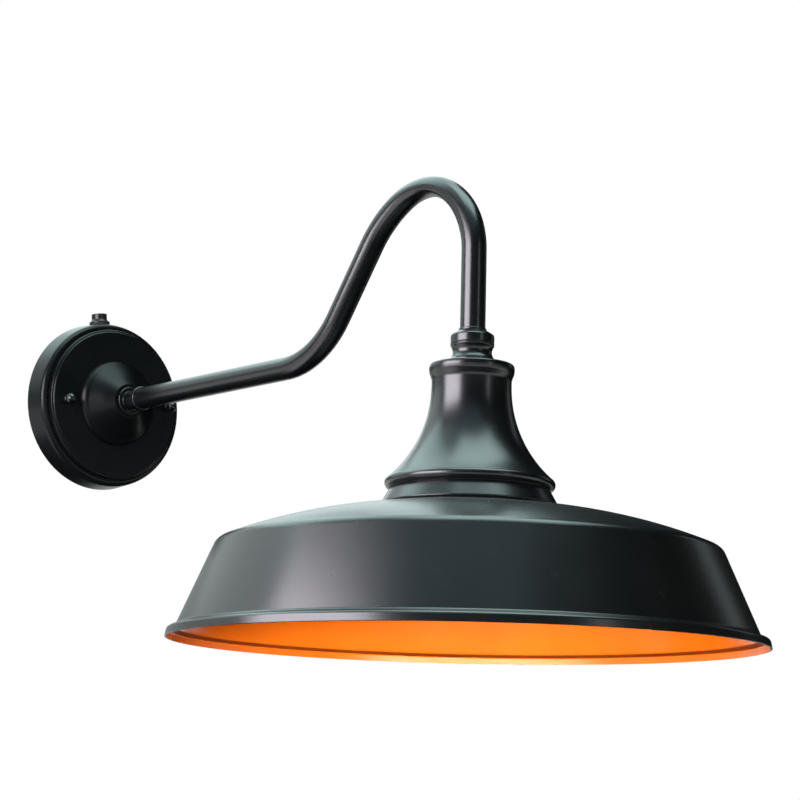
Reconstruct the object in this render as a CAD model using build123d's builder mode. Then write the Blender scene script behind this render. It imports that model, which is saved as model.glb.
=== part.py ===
"""Gooseneck barn wall light: stepped canopy, bent arm, trumpet neck and spun shade, with its socket and bulb.

The wall is the plane y = 0, the arm runs out along -Y, +Z is up, and the origin is on the canopy's axis.
Places along the canopy's axis are distances s from the wall (s = -y), and along the lamp's axis heights z.
All lengths are in millimetres and all angles in degrees.
"""
import os
from math import atan2, cos, pi, radians, sin, sqrt, tan

from build123d import *

os.makedirs("parts", exist_ok=True)

# Clearances
thread_clearance = 0.05
sliding_clearance = 0.08
fit_clearance = 0.1
hole_clearance = 0.3

# Canopy and its gasket
gasket_thickness = 1.5
gasket_inset = 1.0
gasket_width = 6.0
canopy_back_radius = 61.7
canopy_draft = 1.4
canopy_depth = 17.9
canopy_shoulder_width = 3.6
canopy_edge_radius = 3.55
canopy_inner_edge_radius = 2.4
canopy_wall = 1.2
groove_width = 1.3
groove_depth = 1.4
tier_height = 4.8
tier_edge_radius = 2.2
canopy_turn = 4.0

# Crossbar, its studs and nuts, and the ground screw
crossbar_width = 22.0
crossbar_thickness = 2.0
crossbar_end_margin = 7.5
slot_spacing = 69.85
slot_length = 10.0
slot_width = 4.8
stud_inset = 17.25
stud_radius = 2.0
stud_nut_flats = 7.0
stud_nut_height = 3.2
cap_nut_base_radius = 3.3
cap_nut_base_height = 5.6
cap_nut_ball_radius = 3.9
cap_nut_thread_depth = 7.0
stud_tip_gap = 0.6
ground_screw_place = 20.0
ground_screw_radius = 2.0
ground_head_radius = 3.8
ground_head_height = 2.4
ground_drive_width = 1.0
ground_drive_depth = 1.1

# Photocell on the canopy's rim
photocell_angle = 7.0
photocell_set_back = 7.0
photocell_flange_radius = 7.5
photocell_flange_thickness = 1.2
photocell_seal_height = 0.4
photocell_skirt_radius = 6.7
photocell_skirt_height = 1.7
photocell_barrel_radius = 5.65
photocell_barrel_height = 5.8
photocell_barrel_wall = 0.8
photocell_window_sill = 1.9
photocell_window_edge = 1.4
photocell_lens_drop = 0.2
photocell_lens_edge = 0.8
photocell_sensor_radius = 3.0
photocell_sensor_height = 1.5
photocell_stem_radius = 3.5
photocell_nut_flats = 10.5
photocell_nut_height = 3.0
photocell_nut_gap = 0.9
photocell_stem_tail = 1.4
photocell_lead_radius = 1.0

# Arm flange, the collar on it and the nipple through both
flange_radius = 31.5
flange_rim_height = 3.4
flange_rim_round = 5.0
flange_height = 17.2
flange_nose_radius = 12.5
flange_nose_round = 0.8
flange_wall = 2.5
collar_plate_radius = 10.2
collar_plate_thickness = 1.6
collar_plate_round = 0.6
collar_sleeve_radius = 7.0
collar_sleeve_length = 12.0
collar_spigot_length = 20.0
nipple_radius = 5.0
nipple_bore_radius = 3.6
nipple_engagement = 8.0
nipple_tail = 1.5
nipple_washer_radius = 9.5
nipple_washer_thickness = 1.2
nipple_nut_flats = 14.3
nipple_nut_height = 4.0

# Gooseneck arm: a straight run, a bend up, a slant, two arcs over the top and a drop
tube_radius = 7.75
tube_wall = 1.2
rise_start = 223.4
rise_bend_radius = 65.1
rise_angle = 53.9
slant_length = 53.0
crown_radius = 74.6
crown_turn = 27.6
hook_radius = 47.5
drop_length = 50.6
wall_ring_radius = 8.8
wall_ring_length = 3.0
end_ring_radius = 8.5
end_ring_length = 1.4
end_ring_round = 0.5
ring_round = 0.8
end_bush_length = 16.0

# Coupling between the arm and the neck
coupling_top_radius = 8.6
coupling_cone_height = 2.9
coupling_drum_radius = 13.3
coupling_drum_height = 6.6
coupling_drum_round = 1.8
coupling_groove_drop = 5.5
coupling_groove_radius = 0.45
coupling_drum_foot_round = 1.0
coupling_waist_radius = 12.0
coupling_foot_radius = 15.2
coupling_foot_height = 2.4
coupling_height = 21.2

# Trumpet neck
neck_wall = 1.6
neck_top_thickness = 2.5
neck_top_radius = 24.0
neck_bead_radius = 25.9
neck_bead_peak = 3.0
neck_bead_height = 7.8
neck_waist_radius = 24.2
neck_waist_drop = 13.3
neck_flare_radius = 47.9
neck_flare_drop = 68.3
neck_lip_radius = 51.25
neck_lip_height = 7.9
neck_ledge_radius = 39.0
neck_ledge_drop = 70.1

# Shade
shade_sheet = 1.1
shade_flange_width = 10.3
shade_collar_radius = 48.3
shade_collar_overlap = 6.5
shade_collar_height = 18.6
shade_collar_flare = 6.0
shade_collar_round = 1.6
shade_foot_round = 3.0
shade_dome_rise = 7.4
shade_dome_share = 0.938
shade_shoulder_drop = 22.8
shade_shoulder_round = 5.0
shade_skirt_spread = 21.6
shade_skirt_drop = 50.5
shade_crease_round = 1.6
shade_brim_width = 5.1
shade_brim_drop = 1.8
shade_brim_round = 2.4
shade_rim_radius = 178.0
shade_lip_flare = 1.0
shade_lip_height = 4.9
shade_screw_circle = 42.5
shade_screw_count = 3
shade_screw_radius = 2.0
shade_screw_depth = 3.0
shade_screw_head_radius = 3.5
shade_screw_head_height = 2.2

# Lamp socket
socket_hub_radius = 8.0
socket_hub_height = 2.9
socket_cap_radius = 17.0
socket_cap_thickness = 2.0
socket_body_radius = 19.0
socket_body_height = 44.0
socket_body_round = 1.5
socket_roof_thickness = 7.0
socket_screw_circle = 11.0
socket_screw_radius = 1.5
socket_screw_depth = 5.0
socket_screw_head_radius = 2.7
socket_screw_head_height = 1.8
shell_bore_radius = 13.3
shell_sheet = 0.9
shell_length = 34.0
shell_eye_radius = 9.0
contact_stem_radius = 2.5
contact_stem_engagement = 5.0
contact_disc_radius = 5.0
contact_disc_thickness = 2.0
contact_spring_length = 7.0
contact_spring_wire = 1.4
contact_spring_gap = 0.5

# Bulb
bulb_tip_gap = 0.1
bulb_tip_radius = 4.2
bulb_tip_height = 1.0
bulb_insulator_radius = 11.4
bulb_insulator_height = 3.8
bulb_cap_clearance = 0.35
bulb_cap_height = 22.0
bulb_cap_sheet = 0.6
bulb_neck_radius = 13.2
bulb_body_radius = 27.0
bulb_body_height = 34.8
bulb_globe_radius = 30.0
bulb_globe_height = 45.0
bulb_wall = 1.6

# Wiring inside the part
lead_radius = 1.2
lead_offset = 1.7
lead_bend_radius = 8.0
lead_tail = 15.0
lead_end_gap = 0.3
connector_radius = 5.0
connector_top_radius = 3.6
connector_height = 18.0
connector_round = 1.0
connector_depth = 9.0

# Places along the canopy's axis, as distances from the wall
canopy_back = gasket_thickness
canopy_shoulder = canopy_back + canopy_depth
canopy_face = canopy_shoulder + tier_height
groove_floor = canopy_shoulder - groove_depth
flange_nose = canopy_face + flange_height
collar_plate_end = flange_nose + collar_plate_thickness
arm_start = collar_plate_end + collar_sleeve_length
nipple_front = collar_plate_end + nipple_engagement
nipple_washer_back = canopy_face - canopy_wall - nipple_washer_thickness
nipple_nut_back = nipple_washer_back - nipple_nut_height
nipple_back = nipple_nut_back - nipple_tail
lead_turn = nipple_back - lead_bend_radius

# Radii that follow from the sizes above
canopy_front_radius = canopy_back_radius - canopy_draft
groove_outer_radius = canopy_front_radius - canopy_shoulder_width
tier_radius = groove_outer_radius - groove_width
gasket_outer_radius = canopy_back_radius - gasket_inset
stud_spacing = 2 * (canopy_back_radius - stud_inset)
tube_bore_radius = tube_radius - tube_wall
spigot_radius = tube_bore_radius - fit_clearance
shade_brim_radius = shade_rim_radius - shade_lip_flare
shade_crease_radius = shade_brim_radius - shade_brim_width
shade_shoulder_radius = shade_crease_radius - shade_skirt_spread
shade_foot_radius = shade_collar_radius + shade_collar_flare
thread_bore_radius = nipple_radius + thread_clearance

# The arm's reach and the heights of its lower end, worked out along its bends
hook_start_angle = rise_angle - crown_turn
reach = (
    rise_start
    + rise_bend_radius * sin(radians(rise_angle))
    + slant_length * cos(radians(rise_angle))
    + crown_radius * (sin(radians(rise_angle)) - sin(radians(hook_start_angle)))
    + hook_radius * (sin(radians(hook_start_angle)) + 1)
)
hook_end = (
    rise_bend_radius * (1 - cos(radians(rise_angle)))
    + slant_length * sin(radians(rise_angle))
    + crown_radius * (cos(radians(hook_start_angle)) - cos(radians(rise_angle)))
    - hook_radius * cos(radians(hook_start_angle))
)
arm_end = hook_end - drop_length

# Heights along the lamp's axis
neck_top = arm_end - coupling_height
neck_ceiling = neck_top - neck_top_thickness
neck_waist = neck_top - neck_waist_drop
neck_flare = neck_top - neck_flare_drop
neck_lip_end = neck_flare - neck_lip_height
neck_ledge = neck_top - neck_ledge_drop
lamp_washer_bottom = neck_ceiling - nipple_washer_thickness
lamp_nut_bottom = lamp_washer_bottom - nipple_nut_height
socket_cap_top = lamp_nut_bottom - socket_hub_height
socket_top = socket_cap_top - socket_cap_thickness
socket_ceiling = socket_top - socket_roof_thickness
socket_mouth = socket_top - socket_body_height
contact_disc_top = socket_ceiling - contact_spring_length
contact_face = contact_disc_top - contact_disc_thickness
bulb_tip_top = contact_face - bulb_tip_gap
bulb_insulator_top = bulb_tip_top - bulb_tip_height
bulb_cap_top = bulb_insulator_top - bulb_insulator_height
bulb_body_top = bulb_cap_top - bulb_cap_height
bulb_globe_top = bulb_body_top - bulb_body_height
shade_top = neck_ledge
shade_dome_top = shade_top - shade_collar_height
shade_shoulder = shade_dome_top - shade_shoulder_drop
shade_crease = shade_shoulder - shade_skirt_drop
shade_brim = shade_crease - shade_brim_drop
shade_rim = shade_brim - shade_lip_height

# Section planes: across the wall as (radius, s), through the lamp as (radius, z), along the arm as (s, z)
wall_section = Plane(origin=(0, 0, 0), x_dir=(1, 0, 0), z_dir=(0, 0, -1))
lamp_section = Plane(origin=(0, -reach, 0), x_dir=(1, 0, 0), z_dir=(0, -1, 0))
arm_section = Plane(origin=(0, 0, 0), x_dir=(0, -1, 0), z_dir=(-1, 0, 0))
lamp_axis = Axis((0, -reach, 0), (0, 0, 1))

# The photocell stands along a radius of the canopy, a little to the left of straight up
photocell_place = canopy_back + photocell_set_back
photocell_up = Vector(-sin(radians(photocell_angle)), 0, cos(radians(photocell_angle)))
photocell_across = Vector(cos(radians(photocell_angle)), 0, sin(radians(photocell_angle)))
photocell_foot = Vector(0, -photocell_place, 0)
photocell_section = Plane(origin=photocell_foot, x_dir=photocell_across, z_dir=(0, -1, 0))
photocell_axis = Axis(photocell_foot, photocell_up)
photocell_seat = canopy_back_radius + photocell_seal_height
photocell_deck = photocell_seat + photocell_flange_thickness
photocell_top = photocell_deck + photocell_barrel_height
photocell_sill = photocell_deck + photocell_window_sill
photocell_pocket_radius = photocell_barrel_radius - photocell_barrel_wall
photocell_lens_bottom = photocell_deck + photocell_sensor_height
photocell_nut_top = canopy_front_radius - canopy_wall - photocell_nut_gap
photocell_nut_bottom = photocell_nut_top - photocell_nut_height
photocell_stem_end = photocell_nut_bottom - photocell_stem_tail


def wall_plane(distance):
    """A plane parallel to the wall, facing away from it, with X across and Z up."""
    return Plane(origin=(0, -distance, 0), x_dir=(1, 0, 0), z_dir=(0, -1, 0))


def lamp_plane(height):
    """A level plane centred on the lamp's axis, facing up."""
    return Plane(origin=(0, -reach, height), x_dir=(1, 0, 0), z_dir=(0, 0, 1))


def photocell_plane(radius):
    """A plane square to the photocell's axis, at a distance from the canopy's axis, facing outwards."""
    return Plane(origin=photocell_foot + photocell_up * radius, x_dir=photocell_across, z_dir=photocell_up)


def corner(profile, across, along):
    """The profile's corner nearest to a place in its own plane."""
    return profile.vertices().sort_by_distance((across, along))[0]


def finish(builder, name):
    """Name a finished piece and write it."""
    builder.part.label = name
    export_step(builder.part, f"parts/{name}.step")


# Wall gasket: a flat foam ring behind the canopy's edge
with BuildPart() as wall_gasket:
    with BuildSketch(wall_plane(0)):
        Circle(gasket_outer_radius)
        Circle(gasket_outer_radius - gasket_width, mode=Mode.SUBTRACT)
    extrude(amount=gasket_thickness)
finish(wall_gasket, "wall_gasket")

# Canopy: a pressed cup with a rounded shoulder, a groove and a raised tier
with BuildPart() as canopy:
    with BuildSketch(wall_section) as canopy_outside:
        with BuildLine():
            Polyline(
                (0, canopy_back),
                (canopy_back_radius, canopy_back),
                (canopy_front_radius, canopy_shoulder),
                (groove_outer_radius, canopy_shoulder),
                (groove_outer_radius, groove_floor),
                (tier_radius, groove_floor),
                (tier_radius, canopy_face),
                (0, canopy_face),
                close=True,
            )
        make_face()
        fillet(corner(canopy_outside, canopy_front_radius, canopy_shoulder), canopy_edge_radius)
        fillet(corner(canopy_outside, tier_radius, canopy_face), tier_edge_radius)
    revolve(axis=Axis.Y)
    with BuildSketch(wall_section) as canopy_inside:
        with BuildLine():
            Polyline(
                (0, canopy_back),
                (canopy_back_radius - canopy_wall, canopy_back),
                (canopy_front_radius - canopy_wall, groove_floor - canopy_wall),
                (tier_radius - canopy_wall, groove_floor - canopy_wall),
                (tier_radius - canopy_wall, canopy_face - canopy_wall),
                (0, canopy_face - canopy_wall),
                close=True,
            )
        make_face()
        fillet(
            corner(canopy_inside, canopy_front_radius - canopy_wall, groove_floor - canopy_wall),
            canopy_inner_edge_radius,
        )
    revolve(axis=Axis.Y, mode=Mode.SUBTRACT)
    with BuildSketch(wall_plane(canopy_face)):
        Circle(nipple_radius + hole_clearance)
        with PolarLocations(stud_spacing / 2, 2, start_angle=canopy_turn):
            Circle(stud_radius + hole_clearance)
    extrude(amount=-tier_height, mode=Mode.SUBTRACT)
    with BuildSketch(photocell_plane(photocell_seat)):
        Circle(photocell_stem_radius + hole_clearance)
    extrude(amount=photocell_stem_end - photocell_seat, mode=Mode.SUBTRACT)
finish(canopy, "canopy")

# Crossbar: the steel strap screwed to the wall box, with slots for the box screws
with BuildPart() as crossbar:
    with BuildSketch(wall_plane(0)):
        SlotOverall(stud_spacing + 2 * crossbar_end_margin, crossbar_width)
        with GridLocations(slot_spacing, slot_spacing, 2, 1):
            SlotOverall(slot_length, slot_width, mode=Mode.SUBTRACT)
        with PolarLocations(stud_spacing / 2, 2, start_angle=canopy_turn):
            Circle(stud_radius + thread_clearance, mode=Mode.SUBTRACT)
        with Locations((ground_screw_place, 0)):
            Circle(ground_screw_radius + thread_clearance, mode=Mode.SUBTRACT)
    extrude(amount=crossbar_thickness)
finish(crossbar, "crossbar")

# Canopy studs: two threaded rods from the crossbar through the canopy's face
stud_tip = canopy_face + cap_nut_thread_depth - stud_tip_gap
with BuildPart() as canopy_studs:
    with BuildSketch(wall_plane(0)):
        with PolarLocations(stud_spacing / 2, 2, start_angle=canopy_turn):
            Circle(stud_radius)
    extrude(amount=stud_tip)
finish(canopy_studs, "canopy_studs")

# Stud lock nuts: hex nuts that fix the studs in the crossbar
with BuildPart() as stud_lock_nuts:
    with BuildSketch(wall_plane(crossbar_thickness)):
        with PolarLocations(stud_spacing / 2, 2, start_angle=canopy_turn):
            RegularPolygon(stud_nut_flats / 2, 6, major_radius=False)
            Circle(stud_radius + thread_clearance, mode=Mode.SUBTRACT)
    extrude(amount=stud_nut_height)
finish(stud_lock_nuts, "stud_lock_nuts")

# Cap nuts: a short round base with a ball on it, threaded from behind
cap_nut_base_top = canopy_face + cap_nut_base_height
cap_nut_ball_height = cap_nut_base_top + sqrt(cap_nut_ball_radius**2 - cap_nut_base_radius**2)
cap_nut_thread_end = canopy_face + cap_nut_thread_depth
cap_nut_bore_radius = stud_radius + thread_clearance
with BuildPart() as cap_nuts:
    for nut_angle in (canopy_turn, canopy_turn + 180):
        nut_centre = Vector(cos(radians(nut_angle)), 0, sin(radians(nut_angle))) * (stud_spacing / 2)
        with BuildSketch(Plane(origin=nut_centre, x_dir=(1, 0, 0), z_dir=(0, 0, -1))):
            with BuildLine():
                Polyline(
                    (0, cap_nut_ball_height + cap_nut_ball_radius),
                    (0, cap_nut_thread_end),
                    (cap_nut_bore_radius, cap_nut_thread_end),
                    (cap_nut_bore_radius, canopy_face),
                    (cap_nut_base_radius, canopy_face),
                    (cap_nut_base_radius, cap_nut_base_top),
                )
                ThreePointArc(
                    (cap_nut_base_radius, cap_nut_base_top),
                    (cap_nut_ball_radius, cap_nut_ball_height),
                    (0, cap_nut_ball_height + cap_nut_ball_radius),
                )
            make_face()
        revolve(axis=Axis(nut_centre, (0, 1, 0)))
finish(cap_nuts, "cap_nuts")

# Ground screw: a slotted pan-head screw in the crossbar
with BuildPart() as ground_screw:
    with BuildSketch(wall_plane(0)):
        with Locations((ground_screw_place, 0)):
            Circle(ground_screw_radius)
    extrude(amount=crossbar_thickness)
    with BuildSketch(wall_plane(crossbar_thickness)):
        with Locations((ground_screw_place, 0)):
            Circle(ground_head_radius)
    extrude(amount=ground_head_height)
    with BuildSketch(wall_plane(crossbar_thickness + ground_head_height)):
        with Locations((ground_screw_place, 0)):
            Rectangle(2 * ground_head_radius, ground_drive_width)
    extrude(amount=-ground_drive_depth, mode=Mode.SUBTRACT)
finish(ground_screw, "ground_screw")

# Photocell gasket: a rubber washer shaped to the canopy's rim below and flat on top
with BuildPart() as photocell_gasket:
    with BuildSketch(photocell_plane(photocell_seat)):
        Circle(photocell_flange_radius)
        Circle(photocell_stem_radius + hole_clearance, mode=Mode.SUBTRACT)
    extrude(amount=photocell_stem_end - photocell_seat)
    with BuildSketch(wall_section):
        with BuildLine():
            Polyline(
                (0, 0),
                (canopy_back_radius, 0),
                (canopy_back_radius, canopy_back),
                (canopy_front_radius, canopy_shoulder),
                (0, canopy_shoulder),
                close=True,
            )
        make_face()
    revolve(axis=Axis.Y, mode=Mode.SUBTRACT)
finish(photocell_gasket, "photocell_gasket")

# Photocell body: flange, tapered skirt, barrel with a window on the left, and a threaded stem
with BuildPart() as photocell_body:
    with BuildSketch(photocell_section):
        with BuildLine():
            Polyline(
                (0, photocell_stem_end),
                (photocell_stem_radius, photocell_stem_end),
                (photocell_stem_radius, photocell_seat),
                (photocell_flange_radius, photocell_seat),
                (photocell_flange_radius, photocell_deck),
                (photocell_skirt_radius, photocell_deck),
                (photocell_barrel_radius, photocell_deck + photocell_skirt_height),
                (photocell_barrel_radius, photocell_top),
                (photocell_pocket_radius, photocell_top),
                (photocell_pocket_radius, photocell_deck),
                (0, photocell_deck),
                close=True,
            )
        make_face()
    revolve(axis=photocell_axis)
    window_width = photocell_barrel_radius + photocell_window_edge
    with BuildSketch(photocell_plane(photocell_sill)):
        with Locations((photocell_window_edge - window_width / 2, 0)):
            Rectangle(window_width, 2 * photocell_barrel_radius + fit_clearance)
    extrude(amount=photocell_top - photocell_sill, mode=Mode.SUBTRACT)
finish(photocell_body, "photocell_body")

# Photocell sensor: the light-sensitive disc under the lens
with BuildPart() as photocell_sensor:
    with BuildSketch(photocell_plane(photocell_deck)):
        Circle(photocell_sensor_radius)
    extrude(amount=photocell_sensor_height)
finish(photocell_sensor, "photocell_sensor")

# Photocell lens: a clear plug in the barrel
with BuildPart() as photocell_lens:
    with BuildSketch(photocell_plane(photocell_lens_bottom)):
        Circle(photocell_pocket_radius - fit_clearance)
    extrude(amount=photocell_top - photocell_lens_drop - photocell_lens_bottom)
    fillet(photocell_lens.edges().filter_by(GeomType.CIRCLE).sort_by(photocell_axis)[-1], photocell_lens_edge)
finish(photocell_lens, "photocell_lens")

# Photocell nut: holds the stem from inside the canopy
with BuildPart() as photocell_nut:
    with BuildSketch(photocell_plane(photocell_nut_bottom)):
        RegularPolygon(photocell_nut_flats / 2, 6, major_radius=False)
        Circle(photocell_stem_radius + thread_clearance, mode=Mode.SUBTRACT)
    extrude(amount=photocell_nut_height)
finish(photocell_nut, "photocell_nut")

# Arm flange: a cast bell on the canopy's face, hollow behind its cone
flange_slope = (flange_height - flange_rim_height) / (flange_radius - flange_nose_radius)
flange_lift = flange_wall * sqrt(1 + flange_slope**2)
with BuildPart() as arm_flange:
    with BuildSketch(wall_section) as flange_outside:
        with BuildLine():
            Polyline(
                (thread_bore_radius, canopy_face),
                (flange_radius, canopy_face),
                (flange_radius, canopy_face + flange_rim_height),
                (flange_nose_radius, flange_nose),
                (thread_bore_radius, flange_nose),
                close=True,
            )
        make_face()
        fillet(corner(flange_outside, flange_radius, canopy_face + flange_rim_height), flange_rim_round)
        fillet(corner(flange_outside, flange_nose_radius, flange_nose), flange_nose_round)
    revolve(axis=Axis.Y)
    with BuildSketch(wall_section):
        with BuildLine():
            Polyline(
                (flange_nose_radius, canopy_face),
                (flange_radius - flange_wall, canopy_face),
                (
                    flange_radius - flange_wall,
                    canopy_face + flange_rim_height + flange_wall * flange_slope - flange_lift,
                ),
                (flange_nose_radius, flange_nose - flange_lift),
                close=True,
            )
        make_face()
    revolve(axis=Axis.Y, mode=Mode.SUBTRACT)
finish(arm_flange, "arm_flange")

# Arm collar: a plate on the flange's nose, a sleeve, and a spigot inside the tube
with BuildPart() as arm_collar:
    with BuildSketch(wall_section) as collar_profile:
        with BuildLine():
            Polyline(
                (thread_bore_radius, flange_nose),
                (collar_plate_radius, flange_nose),
                (collar_plate_radius, collar_plate_end),
                (collar_sleeve_radius, collar_plate_end),
                (collar_sleeve_radius, arm_start),
                (spigot_radius, arm_start),
                (spigot_radius, arm_start + collar_spigot_length),
                (nipple_bore_radius, arm_start + collar_spigot_length),
                (nipple_bore_radius, nipple_front),
                (thread_bore_radius, nipple_front),
                close=True,
            )
        make_face()
        fillet(corner(collar_profile, collar_plate_radius, collar_plate_end), collar_plate_round)
    revolve(axis=Axis.Y)
finish(arm_collar, "arm_collar")

# Wall nipple: a threaded pipe through the canopy, the flange and the collar, with its washer and nut
with BuildPart() as wall_nipple:
    with BuildSketch(wall_plane(nipple_back)):
        Circle(nipple_radius)
        Circle(nipple_bore_radius, mode=Mode.SUBTRACT)
    extrude(amount=nipple_front - nipple_back)
finish(wall_nipple, "wall_nipple")

with BuildPart() as wall_nipple_washer:
    with BuildSketch(wall_plane(nipple_washer_back)):
        Circle(nipple_washer_radius)
        Circle(nipple_radius + hole_clearance, mode=Mode.SUBTRACT)
    extrude(amount=nipple_washer_thickness)
finish(wall_nipple_washer, "wall_nipple_washer")

with BuildPart() as wall_nipple_nut:
    with BuildSketch(wall_plane(nipple_nut_back)):
        RegularPolygon(nipple_nut_flats / 2, 6, major_radius=False)
        Circle(thread_bore_radius, mode=Mode.SUBTRACT)
    extrude(amount=nipple_nut_height)
finish(wall_nipple_nut, "wall_nipple_nut")


def arm_bends(start, end_height):
    """Draw the arm's line from a point on its straight run to a height on its drop."""
    run = Line(start, (rise_start, 0))
    rise = JernArc(run @ 1, run % 1, rise_bend_radius, rise_angle)
    slant = Line(rise @ 1, (rise @ 1) + (rise % 1) * slant_length)
    crown = JernArc(slant @ 1, slant % 1, crown_radius, -crown_turn)
    hook = JernArc(crown @ 1, crown % 1, hook_radius, -(90 + hook_start_angle))
    Line(hook @ 1, (reach, end_height))


# Gooseneck arm: one bent tube
with BuildPart() as gooseneck_arm:
    with BuildLine(arm_section) as arm_line:
        arm_bends((arm_start, 0), arm_end)
    with BuildSketch(wall_plane(arm_start)):
        Circle(tube_radius)
        Circle(tube_bore_radius, mode=Mode.SUBTRACT)
    sweep(path=arm_line.line)
finish(gooseneck_arm, "gooseneck_arm")

# Rings on the two ends of the tube
with BuildPart() as arm_wall_ring:
    with BuildSketch(wall_plane(arm_start)):
        Circle(wall_ring_radius)
        Circle(tube_radius + thread_clearance, mode=Mode.SUBTRACT)
    extrude(amount=wall_ring_length)
    fillet(arm_wall_ring.edges().filter_by(GeomType.CIRCLE).sort_by(SortBy.RADIUS)[-2:], ring_round)
finish(arm_wall_ring, "arm_wall_ring")

with BuildPart() as arm_end_ring:
    with BuildSketch(lamp_plane(arm_end)):
        Circle(end_ring_radius)
        Circle(tube_radius + thread_clearance, mode=Mode.SUBTRACT)
    extrude(amount=end_ring_length)
    fillet(
        arm_end_ring.edges().filter_by(GeomType.CIRCLE).sort_by(SortBy.RADIUS)[-2:].sort_by(Axis.Z)[-1],
        end_ring_round,
    )
finish(arm_end_ring, "arm_end_ring")

# Arm end bush: a threaded plug inside the tube's lower end
with BuildPart() as arm_end_bush:
    with BuildSketch(lamp_plane(arm_end)):
        Circle(spigot_radius)
        Circle(thread_bore_radius, mode=Mode.SUBTRACT)
    extrude(amount=end_bush_length)
finish(arm_end_bush, "arm_end_bush")

# Coupling: a grooved drum over a waisted foot
coupling_drum_top = arm_end - coupling_cone_height
coupling_drum_bottom = coupling_drum_top - coupling_drum_height
coupling_foot_top = neck_top + coupling_foot_height
coupling_waist_height = (coupling_drum_bottom + coupling_foot_top) / 2
with BuildPart() as coupling:
    with BuildSketch(lamp_section) as coupling_profile:
        with BuildLine():
            Polyline(
                (coupling_drum_radius, coupling_drum_bottom),
                (coupling_drum_radius, coupling_drum_top),
                (coupling_top_radius, arm_end),
                (thread_bore_radius, arm_end),
                (thread_bore_radius, neck_top),
                (coupling_foot_radius, neck_top),
                (coupling_foot_radius, coupling_foot_top),
            )
            ThreePointArc(
                (coupling_foot_radius, coupling_foot_top),
                (coupling_waist_radius, coupling_waist_height),
                (coupling_drum_radius, coupling_drum_bottom),
            )
        make_face()
        fillet(corner(coupling_profile, coupling_drum_radius, coupling_drum_top), coupling_drum_round)
        fillet(corner(coupling_profile, coupling_drum_radius, coupling_drum_bottom), coupling_drum_foot_round)
    revolve(axis=lamp_axis)
    with BuildSketch(lamp_section):
        with Locations((coupling_drum_radius, coupling_drum_top - coupling_groove_drop)):
            Circle(coupling_groove_radius)
    revolve(axis=lamp_axis, mode=Mode.SUBTRACT)
finish(coupling, "coupling")

# Neck: a beaded trumpet that houses the socket, with a ledge inside for the shade
flare_drop = neck_waist - neck_flare
flare_spread = neck_flare_radius - neck_waist_radius
flare_arc_radius = (flare_drop**2 + flare_spread**2) / (2 * flare_spread)
flare_centre = neck_waist_radius + flare_arc_radius
ledge_edge = neck_waist - sqrt((flare_arc_radius + neck_wall) ** 2 - (flare_centre - neck_ledge_radius) ** 2)
neck_socket_radius = neck_waist_radius - neck_wall
neck_lip_bore = shade_collar_radius + fit_clearance
neck_lip_foot = neck_lip_bore + neck_wall / 2
with BuildPart() as neck:
    with BuildSketch(lamp_section):
        with BuildLine():
            Polyline(
                (neck_lip_foot, neck_lip_end),
                (0, neck_lip_end),
                (0, neck_top),
                (neck_top_radius, neck_top),
            )
            ThreePointArc(
                (neck_top_radius, neck_top),
                (neck_bead_radius, neck_top - neck_bead_peak),
                (neck_waist_radius, neck_top - neck_bead_height),
            )
            Line((neck_waist_radius, neck_top - neck_bead_height), (neck_waist_radius, neck_waist))
            TangentArc((neck_waist_radius, neck_waist), (neck_flare_radius, neck_flare), tangent=(0, -1))
            ThreePointArc(
                (neck_flare_radius, neck_flare),
                (neck_lip_radius, (neck_flare + neck_lip_end) / 2),
                (neck_lip_foot, neck_lip_end),
            )
        make_face()
    revolve(axis=lamp_axis)
    with BuildSketch(lamp_section):
        with BuildLine():
            Line((neck_socket_radius, neck_ceiling), (neck_socket_radius, neck_waist))
            TangentArc((neck_socket_radius, neck_waist), (neck_ledge_radius, ledge_edge), tangent=(0, -1))
            Polyline(
                (neck_ledge_radius, ledge_edge),
                (neck_ledge_radius, neck_ledge),
                (neck_lip_bore, neck_ledge),
                (neck_lip_bore, neck_lip_end),
                (0, neck_lip_end),
                (0, neck_ceiling),
                (neck_socket_radius, neck_ceiling),
            )
        make_face()
    revolve(axis=lamp_axis, mode=Mode.SUBTRACT)
    with BuildSketch(lamp_plane(neck_top)):
        Circle(nipple_radius + hole_clearance)
    extrude(amount=-neck_top_thickness, mode=Mode.SUBTRACT)
    with BuildSketch(lamp_plane(neck_ledge)):
        with PolarLocations(shade_screw_circle, shade_screw_count):
            Circle(shade_screw_radius + thread_clearance)
    extrude(amount=shade_screw_depth + hole_clearance, mode=Mode.SUBTRACT)
finish(neck, "neck")

# Lamp nipple: a threaded pipe from the bush through the coupling and the neck to the socket
lamp_nipple_top = arm_end + end_bush_length
with BuildPart() as lamp_nipple:
    with BuildSketch(lamp_plane(socket_cap_top)):
        Circle(nipple_radius)
        Circle(nipple_bore_radius, mode=Mode.SUBTRACT)
    extrude(amount=lamp_nipple_top - socket_cap_top)
finish(lamp_nipple, "lamp_nipple")

with BuildPart() as lamp_nipple_washer:
    with BuildSketch(lamp_plane(lamp_washer_bottom)):
        Circle(nipple_washer_radius)
        Circle(nipple_radius + hole_clearance, mode=Mode.SUBTRACT)
    extrude(amount=nipple_washer_thickness)
finish(lamp_nipple_washer, "lamp_nipple_washer")

with BuildPart() as lamp_nipple_nut:
    with BuildSketch(lamp_plane(lamp_nut_bottom)):
        RegularPolygon(nipple_nut_flats / 2, 6, major_radius=False)
        Circle(thread_bore_radius, mode=Mode.SUBTRACT)
    extrude(amount=nipple_nut_height)
finish(lamp_nipple_nut, "lamp_nipple_nut")

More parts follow.
